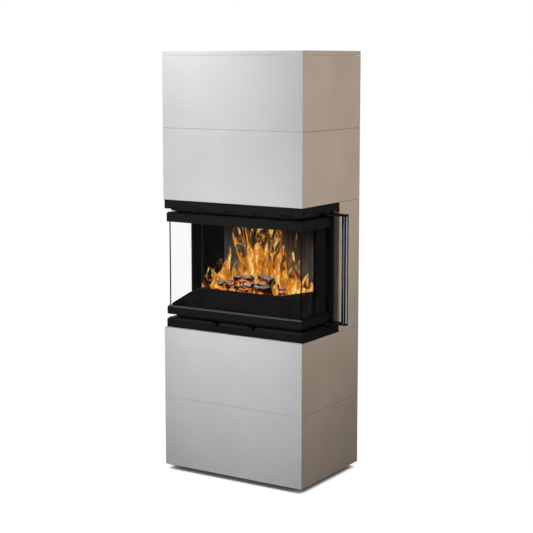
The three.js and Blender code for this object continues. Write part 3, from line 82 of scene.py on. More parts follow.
def rgba(colour: Colour) -> tuple[float, float, float, float]:
    """Linear colour with full alpha from an sRGB colour, by the sRGB standard's curve.

    Args:
        colour: Red, green and blue from 0 to 255.

    Returns:
        Linear red, green, blue and alpha from 0 to 1.
    """
    linear = []
    for channel in colour:
        value = channel / 255
        linear.append(value / 12.92 if value <= 0.04045 else ((value + 0.055) / 1.055) ** 2.4)
    return (linear[0], linear[1], linear[2], 1.0)


def tinted(colour: Colour, share: float) -> Colour:
    """Colour made darker or lighter, by a share of itself."""
    return tuple(channel * share for channel in colour)


# ------------------------------------------------------------------ node helpers


class Graph:
    """Adds nodes to a tree and links them, with few words."""

    def __init__(self, tree: bpy.types.NodeTree) -> None:
        """Keeps the tree."""
        self.tree = tree

    def node(self, kind: str, settings: dict | None = None, **inputs: Value) -> bpy.types.Node:
        """Adds a node.

        Args:
            kind: The node's type, without its "ShaderNode" prefix where it has one.
            settings: Properties of the node itself.
            inputs: Input sockets by name, with underscores for spaces. A socket is linked,
                and any other value is set.

        Returns:
            The new node.
        """
        name = kind if kind.startswith("NodeGroup") else f"ShaderNode{kind}"
        new = self.tree.nodes.new(name)
        for key, value in (settings or {}).items():
            setattr(new, key, value)
        for key, value in inputs.items():
            self.feed(new.inputs[key.replace("_", " ")], value)
        return new

    def feed(self, socket: Socket, value: Value) -> None:
        """Links a socket to another, or sets its value.

        Args:
            socket: The input socket.
            value: An output socket to link, or the value to set.
        """
        if isinstance(value, Socket):
            self.tree.links.new(value, socket)
        else:
            socket.default_value = value

    def filled(self, new: bpy.types.Node, *values: Value) -> bpy.types.Node:
        """Feeds a node's inputs in their order.

        Args:
            new: The node.
            values: Values or sockets for its first inputs.

        Returns:
            The same node.
        """
        for socket, value in zip(new.inputs, values):
            self.feed(socket, value)
        return new

    def math(self, operation: str, *values: Value) -> Socket:
        """Result of a Math node with that operation."""
        return self.filled(self.node("Math", {"operation": operation}), *values).outputs[0]

    def times(self, first: Value, *others: Value) -> Socket:
        """Product of values and sockets.

        Args:
            first: First value or socket.
            others: What it is multiplied by.

        Returns:
            The last node's output socket.
        """
        for other in others:
            first = self.math("MULTIPLY", first, other)
        return first

    def vector_math(self, operation: str, *values: Value) -> bpy.types.Node:
        """Vector Math node with that operation."""
        return self.filled(self.node("VectorMath", {"operation": operation}), *values)

    def span(
        self, value: Value, low: Value, high: Value, to_low: float = 0.0, to_high: float = 1.0
    ) -> Socket:
        """Smooth map of a value from one span to another.

        Args:
            value: The value or socket.
            low: Start of the span.
            high: End of the span.
            to_low: What the start becomes.
            to_high: What the end becomes.

        Returns:
            The node's output socket.
        """
        return self.node(
            "MapRange", {"interpolation_type": "SMOOTHSTEP"}, Value=value, From_Min=low,
            From_Max=high, To_Min=to_low, To_Max=to_high,
        ).outputs["Result"]

    def mix(self, share: Value, first: Value, second: Value) -> Socket:
        """Colour between two colours.

        Args:
            share: Share of the second colour.
            first: First colour or socket.
            second: Second colour or socket.

        Returns:
            The node's colour output.
        """
        new = self.node("Mix", {"data_type": "RGBA"})
        for index, value in zip(MIX_INPUTS, (share, first, second)):
            self.feed(new.inputs[index], value)
        return new.outputs[MIX_COLOUR]

    def place(self) -> Socket:
        """Object coordinates."""
        return self.node("TexCoord").outputs["Object"]

    def stretched(self, scale: Point) -> Socket:
        """Object coordinates, scaled along each axis."""
        return self.node("Mapping", Vector=self.place(), Scale=scale).outputs[0]

    def normal(self) -> Socket:
        """The surface's own normal."""
        return self.node("NewGeometry").outputs["Normal"]

    def split(self, vector: Socket) -> bpy.types.bpy_prop_collection:
        """The X, Y and Z of a vector, as sockets by name."""
        return self.node("SeparateXYZ", Vector=vector).outputs

    def noise(
        self, place: Socket, scale: Value = 1.0, detail: float = 2.0, output: str = "Fac"
    ) -> Socket:
        """Soft noise over coordinates, as a share or, by its output's name, as a colour."""
        return self.node("TexNoise", Vector=place, Scale=scale, Detail=detail).outputs[output]

    def bent(self, place: Socket, bend: Socket, amount: float) -> Socket:
        """Coordinates pushed aside by a noise's colour, so that a pattern on them flows."""
        return self.vector_math("MULTIPLY_ADD", bend, (amount,) * 3, place).outputs["Vector"]

    def bump(self, height: Value, relief: Span, base: Socket | None = None) -> Socket:
        """Normal of a Bump node.

        Args:
            height: The height that raises it.
            relief: Its strength, and its depth in metres.
            base: The normal that it stands on, where that isn't the surface's own.

        Returns:
            The node's output socket.
        """
        strength, depth = relief
        new = self.node("Bump", Strength=strength, Distance=depth, Height=height)
        if base is not None:
            self.feed(new.inputs["Normal"], base)
        return new.outputs["Normal"]


def seen_rays(graph: Graph) -> tuple[Socket, Socket]:
    """Rays that show the backdrop to the camera, straight or in a reflection.

    Args:
        graph: The graph of the backdrop's material or of the world.

    Returns:
        A socket that is 1 for rays straight from the camera, also through glass, and one that
        is 1 for reflections. Both are 0 for light that a surface has scattered.
    """
    path = graph.node("LightPath").outputs
    one_bounce = 0.5  # parts a depth of 0 from a depth of 1
    unscattered = graph.math("LESS_THAN", path["Diffuse Depth"], one_bounce)
    unmirrored = graph.math("LESS_THAN", path["Glossy Depth"], one_bounce)
    seen = graph.math("MAXIMUM", path["Is Camera Ray"], path["Is Transmission Ray"])
    straight = graph.times(seen, unscattered, unmirrored)
    glossy = graph.math("GREATER_THAN", path["Glossy Depth"], one_bounce)
    return straight, graph.times(glossy, unscattered)


class Effects:
    """Node groups that several materials share, each built once."""

    _built: dict[str, bpy.types.NodeTree] = {}

    @classmethod
    def _start(
        cls, name: str, output: str, **inputs: float | tuple
    ) -> tuple[Graph, bpy.types.bpy_prop_collection, Socket]:
        """Starts a node group with named sockets.

        Args:
            name: The group's name.
            output: Its one output, a colour where it is called Color and else a number.
            inputs: Default by input name, a tuple for a colour and a float for a number.

        Returns:
            The graph of the new group, the sockets of its inputs by name, and the socket that
            takes its output.
        """
        tree = bpy.data.node_groups.new(name, "ShaderNodeTree")
        for label, default in inputs.items():
            kind = "NodeSocketColor" if isinstance(default, tuple) else "NodeSocketFloat"
            socket = tree.interface.new_socket(label, in_out="INPUT", socket_type=kind)
            socket.default_value = default
        kind = "NodeSocketColor" if output == "Color" else "NodeSocketFloat"
        tree.interface.new_socket(output, in_out="OUTPUT", socket_type=kind)
        cls._built[name] = tree
        graph = Graph(tree)
        out = graph.node("NodeGroupOutput").inputs[output]
        return graph, graph.node("NodeGroupInput").outputs, out

    @classmethod
    def place(cls, graph: Graph, name: str, **inputs: Value) -> Socket:
        """Places a shared group in a material.

        Args:
            graph: The material's graph.
            name: The group's name, one of the methods below.
            inputs: Values or sockets for its inputs.

        Returns:
            The group's output.
        """
        if name not in cls._built:
            getattr(cls, name)()
        return graph.node("Group", {"node_tree": cls._built[name]}, **inputs).outputs[0]

    @classmethod
    def mottle(cls) -> None:
        """Two close colours in soft patches."""
        graph, given, colour = cls._start(
            "mottle", "Color", Light=(0.8, 0.8, 0.8, 1.0), Dark=(0.7, 0.7, 0.7, 1.0), Scale=4.0
        )
        patches = graph.span(graph.noise(graph.place(), given["Scale"], 4.0), 0.35, 0.65)
        graph.feed(colour, graph.mix(patches, given["Dark"], given["Light"]))

    @classmethod
    def grain(cls) -> None:
        """Fine even grain, as a height."""
        graph, given, height = cls._start("grain", "Height", Scale=600.0)
        graph.feed(height, graph.noise(graph.place(), given["Scale"]))

    @classmethod
    def edge_wear_and_highlight(cls) -> None:
        """Mask of the edges, in uneven patches, for rubbed paint and a painted highlight."""
        graph, given, mask = cls._start("edge_wear_and_highlight", "Mask", Radius=0.001)
        soft = graph.node("Bevel", {"samples": BEVEL_SAMPLES}, Radius=given["Radius"])
        match = graph.vector_math("DOT_PRODUCT", soft.outputs["Normal"], graph.normal())
        rubbed_and_highlit = graph.span(graph.math("SUBTRACT", 1.0, match.outputs["Value"]), 0.0, 0.3)
        patches = graph.noise(graph.place(), scale=22.0, detail=3.0)
        graph.feed(mask, graph.times(rubbed_and_highlit, graph.span(patches, *NOISE_SPAN, 0.35, 1.0)))

    @classmethod
    def crevice_shade(cls) -> None:
        """Mask of narrow gaps and deep corners, for painted shade."""
        graph, given, mask = cls._start("crevice_shade", "Mask", Reach=0.02)
        nearby = graph.node(
            "AmbientOcclusion", {"samples": OPEN_SAMPLES}, Distance=given["Reach"]
        )
        graph.feed(mask, graph.span(nearby.outputs["AO"], 0.75, 0.2))

    @classmethod
    def soot(cls) -> None:
        """Mask of soot that thickens upwards between two heights."""
        graph, given, mask = cls._start("soot", "Mask", Low=0.8, High=1.1)
        wave = graph.times(graph.noise(graph.stretched((9, 9, 3)), detail=4.0), 0.18)
        height = graph.math("ADD", graph.split(graph.place())["Z"], wave)
        graph.feed(mask, graph.span(height, given["Low"], given["High"]))

    @classmethod
    def cracks(cls) -> None:
        """Mask of branching cracks."""
        graph, given, mask = cls._start("cracks", "Mask", Scale=40.0, Width=0.06)
        place = graph.place()
        bend = graph.noise(place, scale=30.0, detail=3.0, output="Color")
        cells = graph.node(
            "TexVoronoi", {"feature": "DISTANCE_TO_EDGE"}, Scale=given["Scale"],
            Vector=graph.bent(place, bend, 0.03),
        )
        graph.feed(mask, graph.span(cells.outputs["Distance"], 0.0, given["Width"], 1.0, 0.0))


# ------------------------------------------------------------------ finishes


def mottled(graph: Graph, light: Colour, dark: Colour, scale: float) -> Socket:
    """Colour of a surface that varies softly between two close ones."""
    return Effects.place(graph, "mottle", Light=rgba(light), Dark=rgba(dark), Scale=scale)


@dataclass(frozen=True)
class Finish:
    """What all finishes share: a name, and one material with a Principled shader."""

    name: str

    def build(self) -> bpy.types.Material:
        """Builds the material.

        Returns:
            The material.
        """
        material = bpy.data.materials.new(self.name)
        material.use_nodes = True
        graph = Graph(material.node_tree)
        shader = material.node_tree.nodes["Principled BSDF"]
        for label, value in self.surface(graph).items():
            graph.feed(shader.inputs[label], value)
        return material

    def surface(self, graph: Graph) -> dict[str, Value]:
        """Lays the finish's nodes.

        Args:
            graph: The material's graph.

        Returns:
            Values and sockets by the name of the shader's input that takes them.
        """
        raise NotImplementedError


@dataclass(frozen=True)
class TileFinish(Finish):
    """Smooth fired tile with a soft satin surface and edges lightened by a painted highlight."""

    light: Colour
    dark: Colour
    patch_scale: float = 3.0
    grain_scale: float = 420.0
    specks: float = 0.16
    wear_and_highlight: float = 0.9
    wear_and_highlight_radius: float = 0.0012
    worn_and_highlight_tint: float = 1.14
    roughness: Span = (0.5, 0.6)
    relief: Span = (0.12, 0.0004)

    def surface(self, graph: Graph) -> dict[str, Value]:
        """Lays the tile's nodes.

        Args:
            graph: The material's graph.

        Returns:
            Values and sockets by shader input.
        """
        body = mottled(graph, self.light, self.dark, self.patch_scale)
        fine = Effects.place(graph, "grain", Scale=self.grain_scale)
        # Painted highlight: the edges are lightened towards a paler copy of the tile's colour,
        # where light would catch the arrises.
        rubbed_and_highlit = Effects.place(graph, "edge_wear_and_highlight", Radius=self.wear_and_highlight_radius)
        speckled = graph.mix(graph.span(fine, 0.62, 0.78, 0.0, self.specks), body, rgba(self.dark))
        worn_and_highlit = rgba(tinted(self.light, self.worn_and_highlight_tint))
        return {
            "Base Color": graph.mix(graph.times(rubbed_and_highlit, self.wear_and_highlight), speckled, worn_and_highlit),
            "Roughness": graph.span(fine, *NOISE_SPAN, *self.roughness),
            "Specular IOR Level": 0.3,
            "Normal": graph.bump(fine, self.relief),
        }


@dataclass(frozen=True)
class SteelFinish(Finish):
    """Sheet steel under a fine-textured heatproof paint.

    Bevels that look forwards and up can be lightened towards a pale colour to a given share, a
    painted highlight.
    """

    paint: Colour
    rubbed_and_highlit: Colour
    roughness: float = 0.5
    gloss: float = 0.2
    grain_scale: float = 900.0
    bevel_radius: float = 0.0009
    bevel_highlight: float = 0.0
    bevel_highlight_colour: Colour = (94, 89, 86)
    patch_scale: float = 7.0
    patch_tint: float = 0.86
    wear_and_highlight: float = 0.45
    forward: Span = (-0.35, -0.55)
    upward: Span = (0.3, 0.5)
    gap_reach: float = 0.03
    painted_gap_shade: float = 0.7
    relief: Span = (0.22, 0.0003)

    def surface(self, graph: Graph) -> dict[str, Value]:
        """Lays the painted steel's nodes.

        Args:
            graph: The material's graph.

        Returns:
            Values and sockets by shader input.
        """
        body = mottled(graph, self.paint, tinted(self.paint, self.patch_tint), self.patch_scale)
        # Lighter edges: rubbed paint, with a painted highlight along them.
        worn_and_highlit = Effects.place(graph, "edge_wear_and_highlight", Radius=self.bevel_radius)
        colour = graph.mix(graph.times(worn_and_highlit, self.wear_and_highlight), body, rgba(self.rubbed_and_highlit))
        # Painted highlight on the bevels that face forwards and up.
        if self.bevel_highlight > 0:
            facing = graph.split(graph.normal())
            painted_bevel_highlight = graph.times(
                graph.span(facing["Y"], *self.forward), graph.span(facing["Z"], *self.upward),
                self.bevel_highlight,
            )
            colour = graph.mix(painted_bevel_highlight, colour, rgba(self.bevel_highlight_colour))
        # Painted shade: the colour darkens towards black in narrow gaps and deep corners.
        shaded_gaps = Effects.place(graph, "crevice_shade", Reach=self.gap_reach)
        fine = Effects.place(graph, "grain", Scale=self.grain_scale)
        rough = (self.roughness - 0.06, self.roughness + 0.08)
        soft = graph.node("Bevel", {"samples": BEVEL_SAMPLES}, Radius=self.bevel_radius)
        return {
            "Base Color": graph.mix(graph.times(shaded_gaps, self.painted_gap_shade), colour, BLACK),
            "Roughness": graph.span(fine, *NOISE_SPAN, *rough),
            "Specular IOR Level": self.gloss,
            "Normal": graph.bump(fine, self.relief, soft.outputs["Normal"]),
        }


@dataclass(frozen=True)
class PolishedFinish(Finish):
    """Drawn steel tube, polished along its length."""

    metal: Colour = (146, 149, 158)
    patch_scale: float = 30.0
    patch_tint: float = 0.93
    line_scale: float = 1500.0
    line_length_scale: float = 6.0
    roughness: Span = (0.1, 0.16)
    relief: Span = (0.05, 0.0001)

    def surface(self, graph: Graph) -> dict[str, Value]:
        """Lays the polished tube's nodes.

        Args:
            graph: The material's graph.

        Returns:
            Values and sockets by shader input.
        """
        scales = (self.line_scale, self.line_scale, self.line_length_scale)
        lines = graph.noise(graph.stretched(scales))
        dim = tinted(self.metal, self.patch_tint)
        return {
            "Base Color": mottled(graph, self.metal, dim, self.patch_scale),
            "Metallic": 1.0,
            "Roughness": graph.span(lines, *NOISE_SPAN, *self.roughness),
            "Normal": graph.bump(lines, self.relief),
        }


@dataclass(frozen=True)
class GlassFinish(Finish):
    """Clear fire glass with a faint smear and a dark seal along its front corners."""

    tint: Colour = (255, 255, 254)
    seal: Colour = (30, 30, 30)
    seal_width: float = 0.0035
    refraction: float = 1.2
    smear_roughness: float = 0.012

    def surface(self, graph: Graph) -> dict[str, Value]:
        """Lays the glass's nodes, with the seal where the front pane's corners are.

        Args:
            graph: The material's graph.

        Returns:
            Values and sockets by shader input.
        """
        low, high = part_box("glass_front")
        place = graph.split(graph.place())
        left = graph.math("LESS_THAN", place["X"], low.x + self.seal_width)
        right = graph.math("GREATER_THAN", place["X"], high.x - self.seal_width)
        near = graph.math("LESS_THAN", place["Y"], low.y + self.seal_width)
        sealed = graph.times(graph.math("MAXIMUM", left, right), near)
        smear = graph.noise(graph.stretched((6, 6, 2)), detail=5.0)
        return {
            "Base Color": graph.mix(sealed, rgba(self.tint), rgba(self.seal)),
            "Transmission Weight": 1.0,
            "IOR": self.refraction,
            "Roughness": graph.span(smear, 0.55, 0.8, 0.0, self.smear_roughness),
        }


@dataclass(frozen=True)
class LiningFinish(Finish):
    """Firebrick board, grey where it is burnt clean and black where it is sooted."""

    clean: Colour
    sooted: Colour
    soot_low: float
    soot_high: float
    patch_scale: float = 14.0
    patch_tint: float = 1.15
    grain_scale: float = 260.0
    roughness: Span = (0.85, 1.0)
    relief: Span = (0.5, 0.0012)

    def surface(self, graph: Graph) -> dict[str, Value]:
        """Lays the lining's nodes.

        Args:
            graph: The material's graph.

        Returns:
            Values and sockets by shader input.
        """
        pale = tinted(self.clean, self.patch_tint)
        body = mottled(graph, pale, self.clean, self.patch_scale)
        soot = Effects.place(graph, "soot", Low=self.soot_low, High=self.soot_high)
        fine = Effects.place(graph, "grain", Scale=self.grain_scale)
        return {
            "Base Color": graph.mix(soot, body, rgba(self.sooted)),
            "Roughness": graph.span(fine, *NOISE_SPAN, *self.roughness),
            "Specular IOR Level": 0.1,
            "Normal": graph.bump(fine, self.relief),
        }


@dataclass(frozen=True)
class RopeFinish(Finish):
    """Twisted glass fibre rope."""

    fibre: Colour = (46, 46, 45)
    shade: Colour = (24, 24, 24)
    twist_scale: float = 160.0
    relief: Span = (0.8, 0.001)

    def surface(self, graph: Graph) -> dict[str, Value]:
        """Lays the rope's nodes.

        Args:
            graph: The material's graph.

        Returns:
            Values and sockets by shader input.
        """
        twist = graph.node(
            "TexWave", {"bands_direction": "DIAGONAL"}, Scale=self.twist_scale, Distortion=1.5,
            Detail=2.0, Vector=graph.place(),
        ).outputs["Fac"]
        return {
            "Base Color": graph.mix(twist, rgba(self.shade), rgba(self.fibre)),
            "Roughness": 0.95,
            "Normal": graph.bump(twist, self.relief),
        }


@dataclass(frozen=True)
class CoalFinish(Finish):
    """Charcoal: ash and painted highlight on its upper sides, a glow in its cracks and undersides.
    """

    char: Colour
    ash_and_highlight: Colour
    glow: Colour
    crack_scale: float
    crack_width: float
    ash_and_highlight_from: float
    glow_strength: float
    ash_and_highlight_fade: float = 0.22
    ash_and_highlight_patches: float = 1.4
    cooling: Colour = (150, 26, 4)
    patch_scale: float = 60.0
    patch_tint: float = 0.5
    grain_scale: float = 320.0
    relief: Span = (0.7, 0.0018)
    underside: Span = (0.35, -0.5)

    def surface(self, graph: Graph) -> dict[str, Value]:
        """Lays the charcoal's nodes.

        Args:
            graph: The material's graph.

        Returns:
            Values and sockets by shader input.
        """
        place = graph.place()
        upward = graph.split(graph.normal())["Z"]
        # Ash on the upper sides, its pale colour partly a painted highlight.
        patches = graph.times(graph.noise(place, scale=38.0, detail=6.0), self.ash_and_highlight_patches)
        ash_and_highlight_level = graph.math("ADD", upward, patches)
        ash_and_highlight_share = graph.span(ash_and_highlight_level, self.ash_and_highlight_from, self.ash_and_highlight_from + self.ash_and_highlight_fade)
        body = mottled(graph, self.char, tinted(self.char, self.patch_tint), self.patch_scale)
        cracks = Effects.place(graph, "cracks", Scale=self.crack_scale, Width=self.crack_width)
        hot = graph.span(graph.noise(place, scale=17.0, detail=3.0), 0.4, 0.62)
        under = graph.span(upward, *self.underside)
        shine = graph.times(graph.math("MAXIMUM", cracks, under), hot)
        colour = graph.mix(shine, rgba(self.cooling), rgba(self.glow))
        fine = Effects.place(graph, "grain", Scale=self.grain_scale)
        return {
            "Base Color": graph.mix(ash_and_highlight_share, body, rgba(self.ash_and_highlight)),
            "Roughness": 0.92,
            "Specular IOR Level": 0.1,
            "Emission Color": graph.mix(shine, BLACK, colour),
            "Emission Strength": self.glow_strength,
            "Normal": graph.bump(graph.math("SUBTRACT", fine, cracks), self.relief),
        }


@dataclass(frozen=True)
class FlameFinish(Finish):
    """Flame: a thin glowing skin with bright folds, torn open towards its tips."""

    deep: Colour = (104, 34, 8)
    middle: Colour = (214, 128, 30)
    middle_at: float = 0.45
    bright: Colour = (255, 232, 138)
    strands: float = 3.4
    breaks: float = 1.9
    variety: float = 20.0
    curl: float = 2.8
    vein: float = 0.036
    halo: float = 4.0
    torn: Span = (0.38, 0.62)
    edge_fade: float = 0.05

    def surface(self, graph: Graph) -> dict[str, Value]:
        """Lays the flame's nodes.

        Args:
            graph: The material's graph.

        Returns:
            Values and sockets by shader input.
        """
        coordinates = graph.node("TexCoord").outputs
        skin = graph.split(coordinates["UV"])
        around, height = skin["X"], skin["Y"]
        strands = graph.node(
            "CombineXYZ", X=graph.times(around, self.strands), Y=graph.times(height, self.breaks),
            Z=graph.times(graph.split(coordinates["Object"])["X"], self.variety),
        ).outputs["Vector"]
        bend = graph.noise(graph.stretched((12, 12, 8)), detail=1.0, output="Color")
        flow = graph.bent(strands, bend, self.curl)
        ridge = graph.math("ABSOLUTE", graph.math("SUBTRACT", graph.noise(flow), 0.5))
        sparks = graph.span(graph.noise(graph.stretched((16, 16, 9))), 0.4, 0.62)
        vein = graph.times(graph.span(ridge, self.vein, 0.0), sparks)
        halo = graph.span(ridge, self.vein * self.halo, 0.0)
        body = graph.noise(flow, scale=0.7)
        edge = graph.span(height, 0.0, 1.0, *self.torn)
        cover = graph.span(graph.math("SUBTRACT", body, edge), 0.0, self.edge_fade)
        alpha = graph.math("MAXIMUM", cover, graph.times(vein, 0.7))
        foot, tip = graph.span(height, 0.0, 0.08), graph.span(height, 1.0, 0.9)
        heat = graph.math("ADD", graph.times(halo, 0.2), graph.times(vein, 0.6))
        heat = graph.math("ADD", heat, graph.span(body, 0.38, 0.68, 0.0, 0.56))
        heat = graph.math("ADD", heat, graph.span(height, 0.35, 0.0, 0.0, 0.22))
        ramp = graph.node("ValToRGB", Fac=heat)
        stops = ramp.color_ramp.elements
        stops[0].color, stops[1].color = rgba(self.deep), rgba(self.bright)
        stops.new(self.middle_at).color = rgba(self.middle)
        return {
            "Base Color": BLACK,
            "Roughness": 1.0,
            "Specular IOR Level": 0.0,
            "Emission Color": ramp.outputs["Color"],
            "Emission Strength": 1.0,
            "Alpha": graph.times(alpha, foot, tip),
        }


@dataclass(frozen=True)
class StageFinish(Finish):
    """Pale floor, white to the camera, that keeps its shadows and has a painted contact shadow."""

    shade: Colour = (190, 190, 190)
    lift: float = 0.9
    reach: float = 0.05
    painted_contact_shadow: Span = (0.2, 0.6)

    def surface(self, graph: Graph) -> dict[str, Value]:
        """Lays the floor's nodes.

        Args:
            graph: The material's graph.

        Returns:
            Values and sockets by shader input.
        """
        straight, _ = seen_rays(graph)
        nearby = graph.node("AmbientOcclusion", {"samples": OPEN_SAMPLES}, Distance=self.reach)
        # Painted contact shadow: the camera's white lift fades where other surfaces stand close
        # above the floor.
        lift_outside_painted_shadow = graph.span(nearby.outputs["AO"], *self.painted_contact_shadow, 0.0, self.lift)
        return {
            "Base Color": rgba(self.shade),
            "Roughness": 0.9,
            "Specular IOR Level": 0.0,
            "Emission Color": WHITE,
            "Emission Strength": graph.times(straight, lift_outside_painted_shadow),
        }


class Look(Enum):
    """The stove's finishes."""

    FRONT_TILE = TileFinish("front_tile", (215, 215, 215), (209, 209, 209))
    # Side tiles: a darker, tan copy of the front tiles' colour, painted shade and warm light on
    # the same tile.
    SHADED_SIDE_TILE = TileFinish("side_tile", (171, 155, 139), (165, 149, 133))
    BLACK_STEEL = SteelFinish("black_steel", (24, 24, 24), (74, 72, 70), gloss=0.12)
    # Painted shade: the bottom rail and the bottom frame take darker copies of the black steel
    # paint, with a painted highlight on their front bevels.
    SHADED_RAIL_STEEL = SteelFinish("shaded_rail_steel", (20, 20, 20), (46, 45, 44), gloss=0.1, bevel_highlight=0.62)
    SHADED_FRAME_STEEL = SteelFinish("shaded_frame_steel", (18, 18, 18), (42, 41, 40), gloss=0.1, bevel_highlight=0.1)
    # Painted shade: the firebox's side walls take a darker copy of the black steel paint.
    SHADED_WALL_STEEL = SteelFinish("shaded_wall_steel", (12, 11, 10), (22, 21, 20), 0.7, 0.05)
    INNER_STEEL = SteelFinish("grey_steel", (82, 84, 86), (120, 121, 122), 0.55)
    BACK_STEEL = SteelFinish("dark_grey_steel", (58, 60, 64), (96, 97, 99), 0.6)
    FLUE_STEEL = SteelFinish("flue_steel", (46, 47, 48), (84, 84, 84), 0.6)
    CAST_IRON = SteelFinish("cast_iron", (27, 28, 28), (52, 53, 54), 0.62, 0.1, 380.0, 0.0014)
    POLISHED = PolishedFinish("polished_tube")
    GLASS = GlassFinish("fire_glass")
    LINING = LiningFinish("ribbed_lining", (124, 124, 124), (32, 32, 32), 0.93, 1.17)
    DARK_LINING = LiningFinish("sooted_lining", (40, 39, 38), (18, 18, 18), 0.7, 1.1)
    ROPE = RopeFinish("gasket_rope")
    EMBERS = CoalFinish(
        "ember_bed", (40, 30, 26), (150, 140, 132), (255, 138, 40), crack_scale=34.0,
        crack_width=0.16, ash_and_highlight_from=1.35, glow_strength=1.5,
    )
    COAL = CoalFinish(
        "coals", (17, 15, 14), (240, 236, 232), (255, 150, 60), crack_scale=40.0,
        crack_width=0.06, ash_and_highlight_from=1.22, glow_strength=1.2,
    )
    BURNT_WOOD = CoalFinish(
        "burnt_wood", (20, 17, 16), (206, 199, 192), (255, 140, 44), crack_scale=34.0,
        crack_width=0.04, ash_and_highlight_from=1.2, glow_strength=1.1,
    )
    FLAME = FlameFinish("flame")


Palette = dict[Look, bpy.types.Material]


# ------------------------------------------------------------------ pieces


def dress(material: bpy.types.Material, *names: str) -> None:
    """Gives CAD nodes a material.

    Args:
        material: The material.
        names: The nodes' names.
    """
    for name in names:
        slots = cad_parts[name].data.materials
        slots.clear()
        slots.append(material)
        LOG.info("%s gets %s", name, material.name)


def smooth_shade(name: str) -> None:
    """Shades a CAD node's round faces smooth, with its sharp edges kept.

    Args:
        name: The node's name.
    """
    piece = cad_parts[name]
    weld = piece.modifiers.new("weld", "WELD")
    weld.merge_threshold = SAME_PLACE
    for polygon in piece.data.polygons:
        polygon.use_smooth = True
    piece.data.set_sharp_from_angle(angle=math.radians(SHARP_ANGLE))


def finish_piece(
    mesh: bmesh.types.BMesh, name: str, material: bpy.types.Material, body: Body
) -> bpy.types.Object:
    """Turns a bmesh into a piece of the object.

    Args:
        mesh: The bmesh, in the object's frame. It is freed.
        name: The piece's name.
        material: Its material.
        body: The body it rides on.

    Returns:
        The new object.
    """
    bmesh.ops.recalc_face_normals(mesh, faces=mesh.faces[:])
    for face in mesh.faces:
        face.smooth = True
    data = bpy.data.meshes.new(name)
    mesh.to_mesh(data)
    mesh.free()
    data.materials.append(material)
    piece = bpy.data.objects.new(name, data)
    bpy.context.scene.collection.objects.link(piece)
    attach(piece, body.value)
    LOG.info("%s has %d faces", name, len(data.polygons))
    return piece


@dataclass
class Casing:
    """Tiles, top slab, plinth and inner frame."""

    palette: Palette
    courses: int = 4
    sides: tuple[str, str] = ("left", "right")

    def dress(self) -> None:
        """Gives the casing's pieces their materials."""
        courses = range(1, self.courses + 1)
        fronts = [f"tile_{course}_front" for course in courses]
        dress(self.palette[Look.FRONT_TILE], *fronts, "top_slab_front")
        for side in self.sides:
            # The sides take the tile colour with painted shade and warm light.
            tiles = [f"tile_{course}_{side}" for course in courses]
            dress(
                self.palette[Look.SHADED_SIDE_TILE], *tiles, f"strip_tile_{side}", f"top_slab_{side}"
            )
        dress(self.palette[Look.BLACK_STEEL], "plinth_base")
        dress(self.palette[Look.BACK_STEEL], "top_plate", "back_panel")
        feet = [f"levelling_foot_{end}_{side}" for end in ("front", "rear") for side in self.sides]
        dress(self.palette[Look.INNER_STEEL], "support_frame", *feet)
        for foot in feet:
            smooth_shade(foot)


@dataclass
class Insert:
    """Steel housings, linings, guard and pipes."""

    palette: Palette

    def dress(self) -> None:
        """Gives the insert's pieces their materials."""
        for look, names in (
            (Look.BLACK_STEEL, ("base_housing", "top_flange", "top_housing", "back_wall")),
            (Look.SHADED_WALL_STEEL, ("side_wall_left", "side_wall_right")),
            (Look.SHADED_FRAME_STEEL, ("bottom_frame", "air_lever_primary", "air_lever_secondary")),
            (Look.INNER_STEEL, ("smoke_hood", "latch_keeper")),
            (Look.FLUE_STEEL, ("flue_pipe", "air_inlet_elbow")),
            (Look.LINING, ("lining_back",)),
            (Look.DARK_LINING, ("lining_left", "lining_right", "hearth_floor", "baffle")),
            (Look.CAST_IRON, ("ember_guard_front", "ember_guard_left", "ember_guard_right")),
            (Look.EMBERS, ("ember_bed",)),
        ):
            dress(self.palette[look], *names)
        for name in ("flue_pipe", "air_inlet_elbow", "smoke_hood", "ember_bed"):
            smooth_shade(name)


@dataclass
class Door:
    """Rails, stiles, panes and what holds them."""

    palette: Palette

    def dress(self) -> None:
        """Gives the door's pieces their materials."""
        dress(
            self.palette[Look.BLACK_STEEL], "door_rail_top", "hinge_stile", "latch_stile",
            "glass_retaining_frame",
        )
        dress(self.palette[Look.SHADED_RAIL_STEEL], "door_rail_bottom")
        dress(self.palette[Look.GLASS], "glass_front", "glass_left", "glass_right")
        dress(self.palette[Look.ROPE], "door_gasket")
        dress(self.palette[Look.INNER_STEEL], "hinge_rod")
        smooth_shade("hinge_rod")


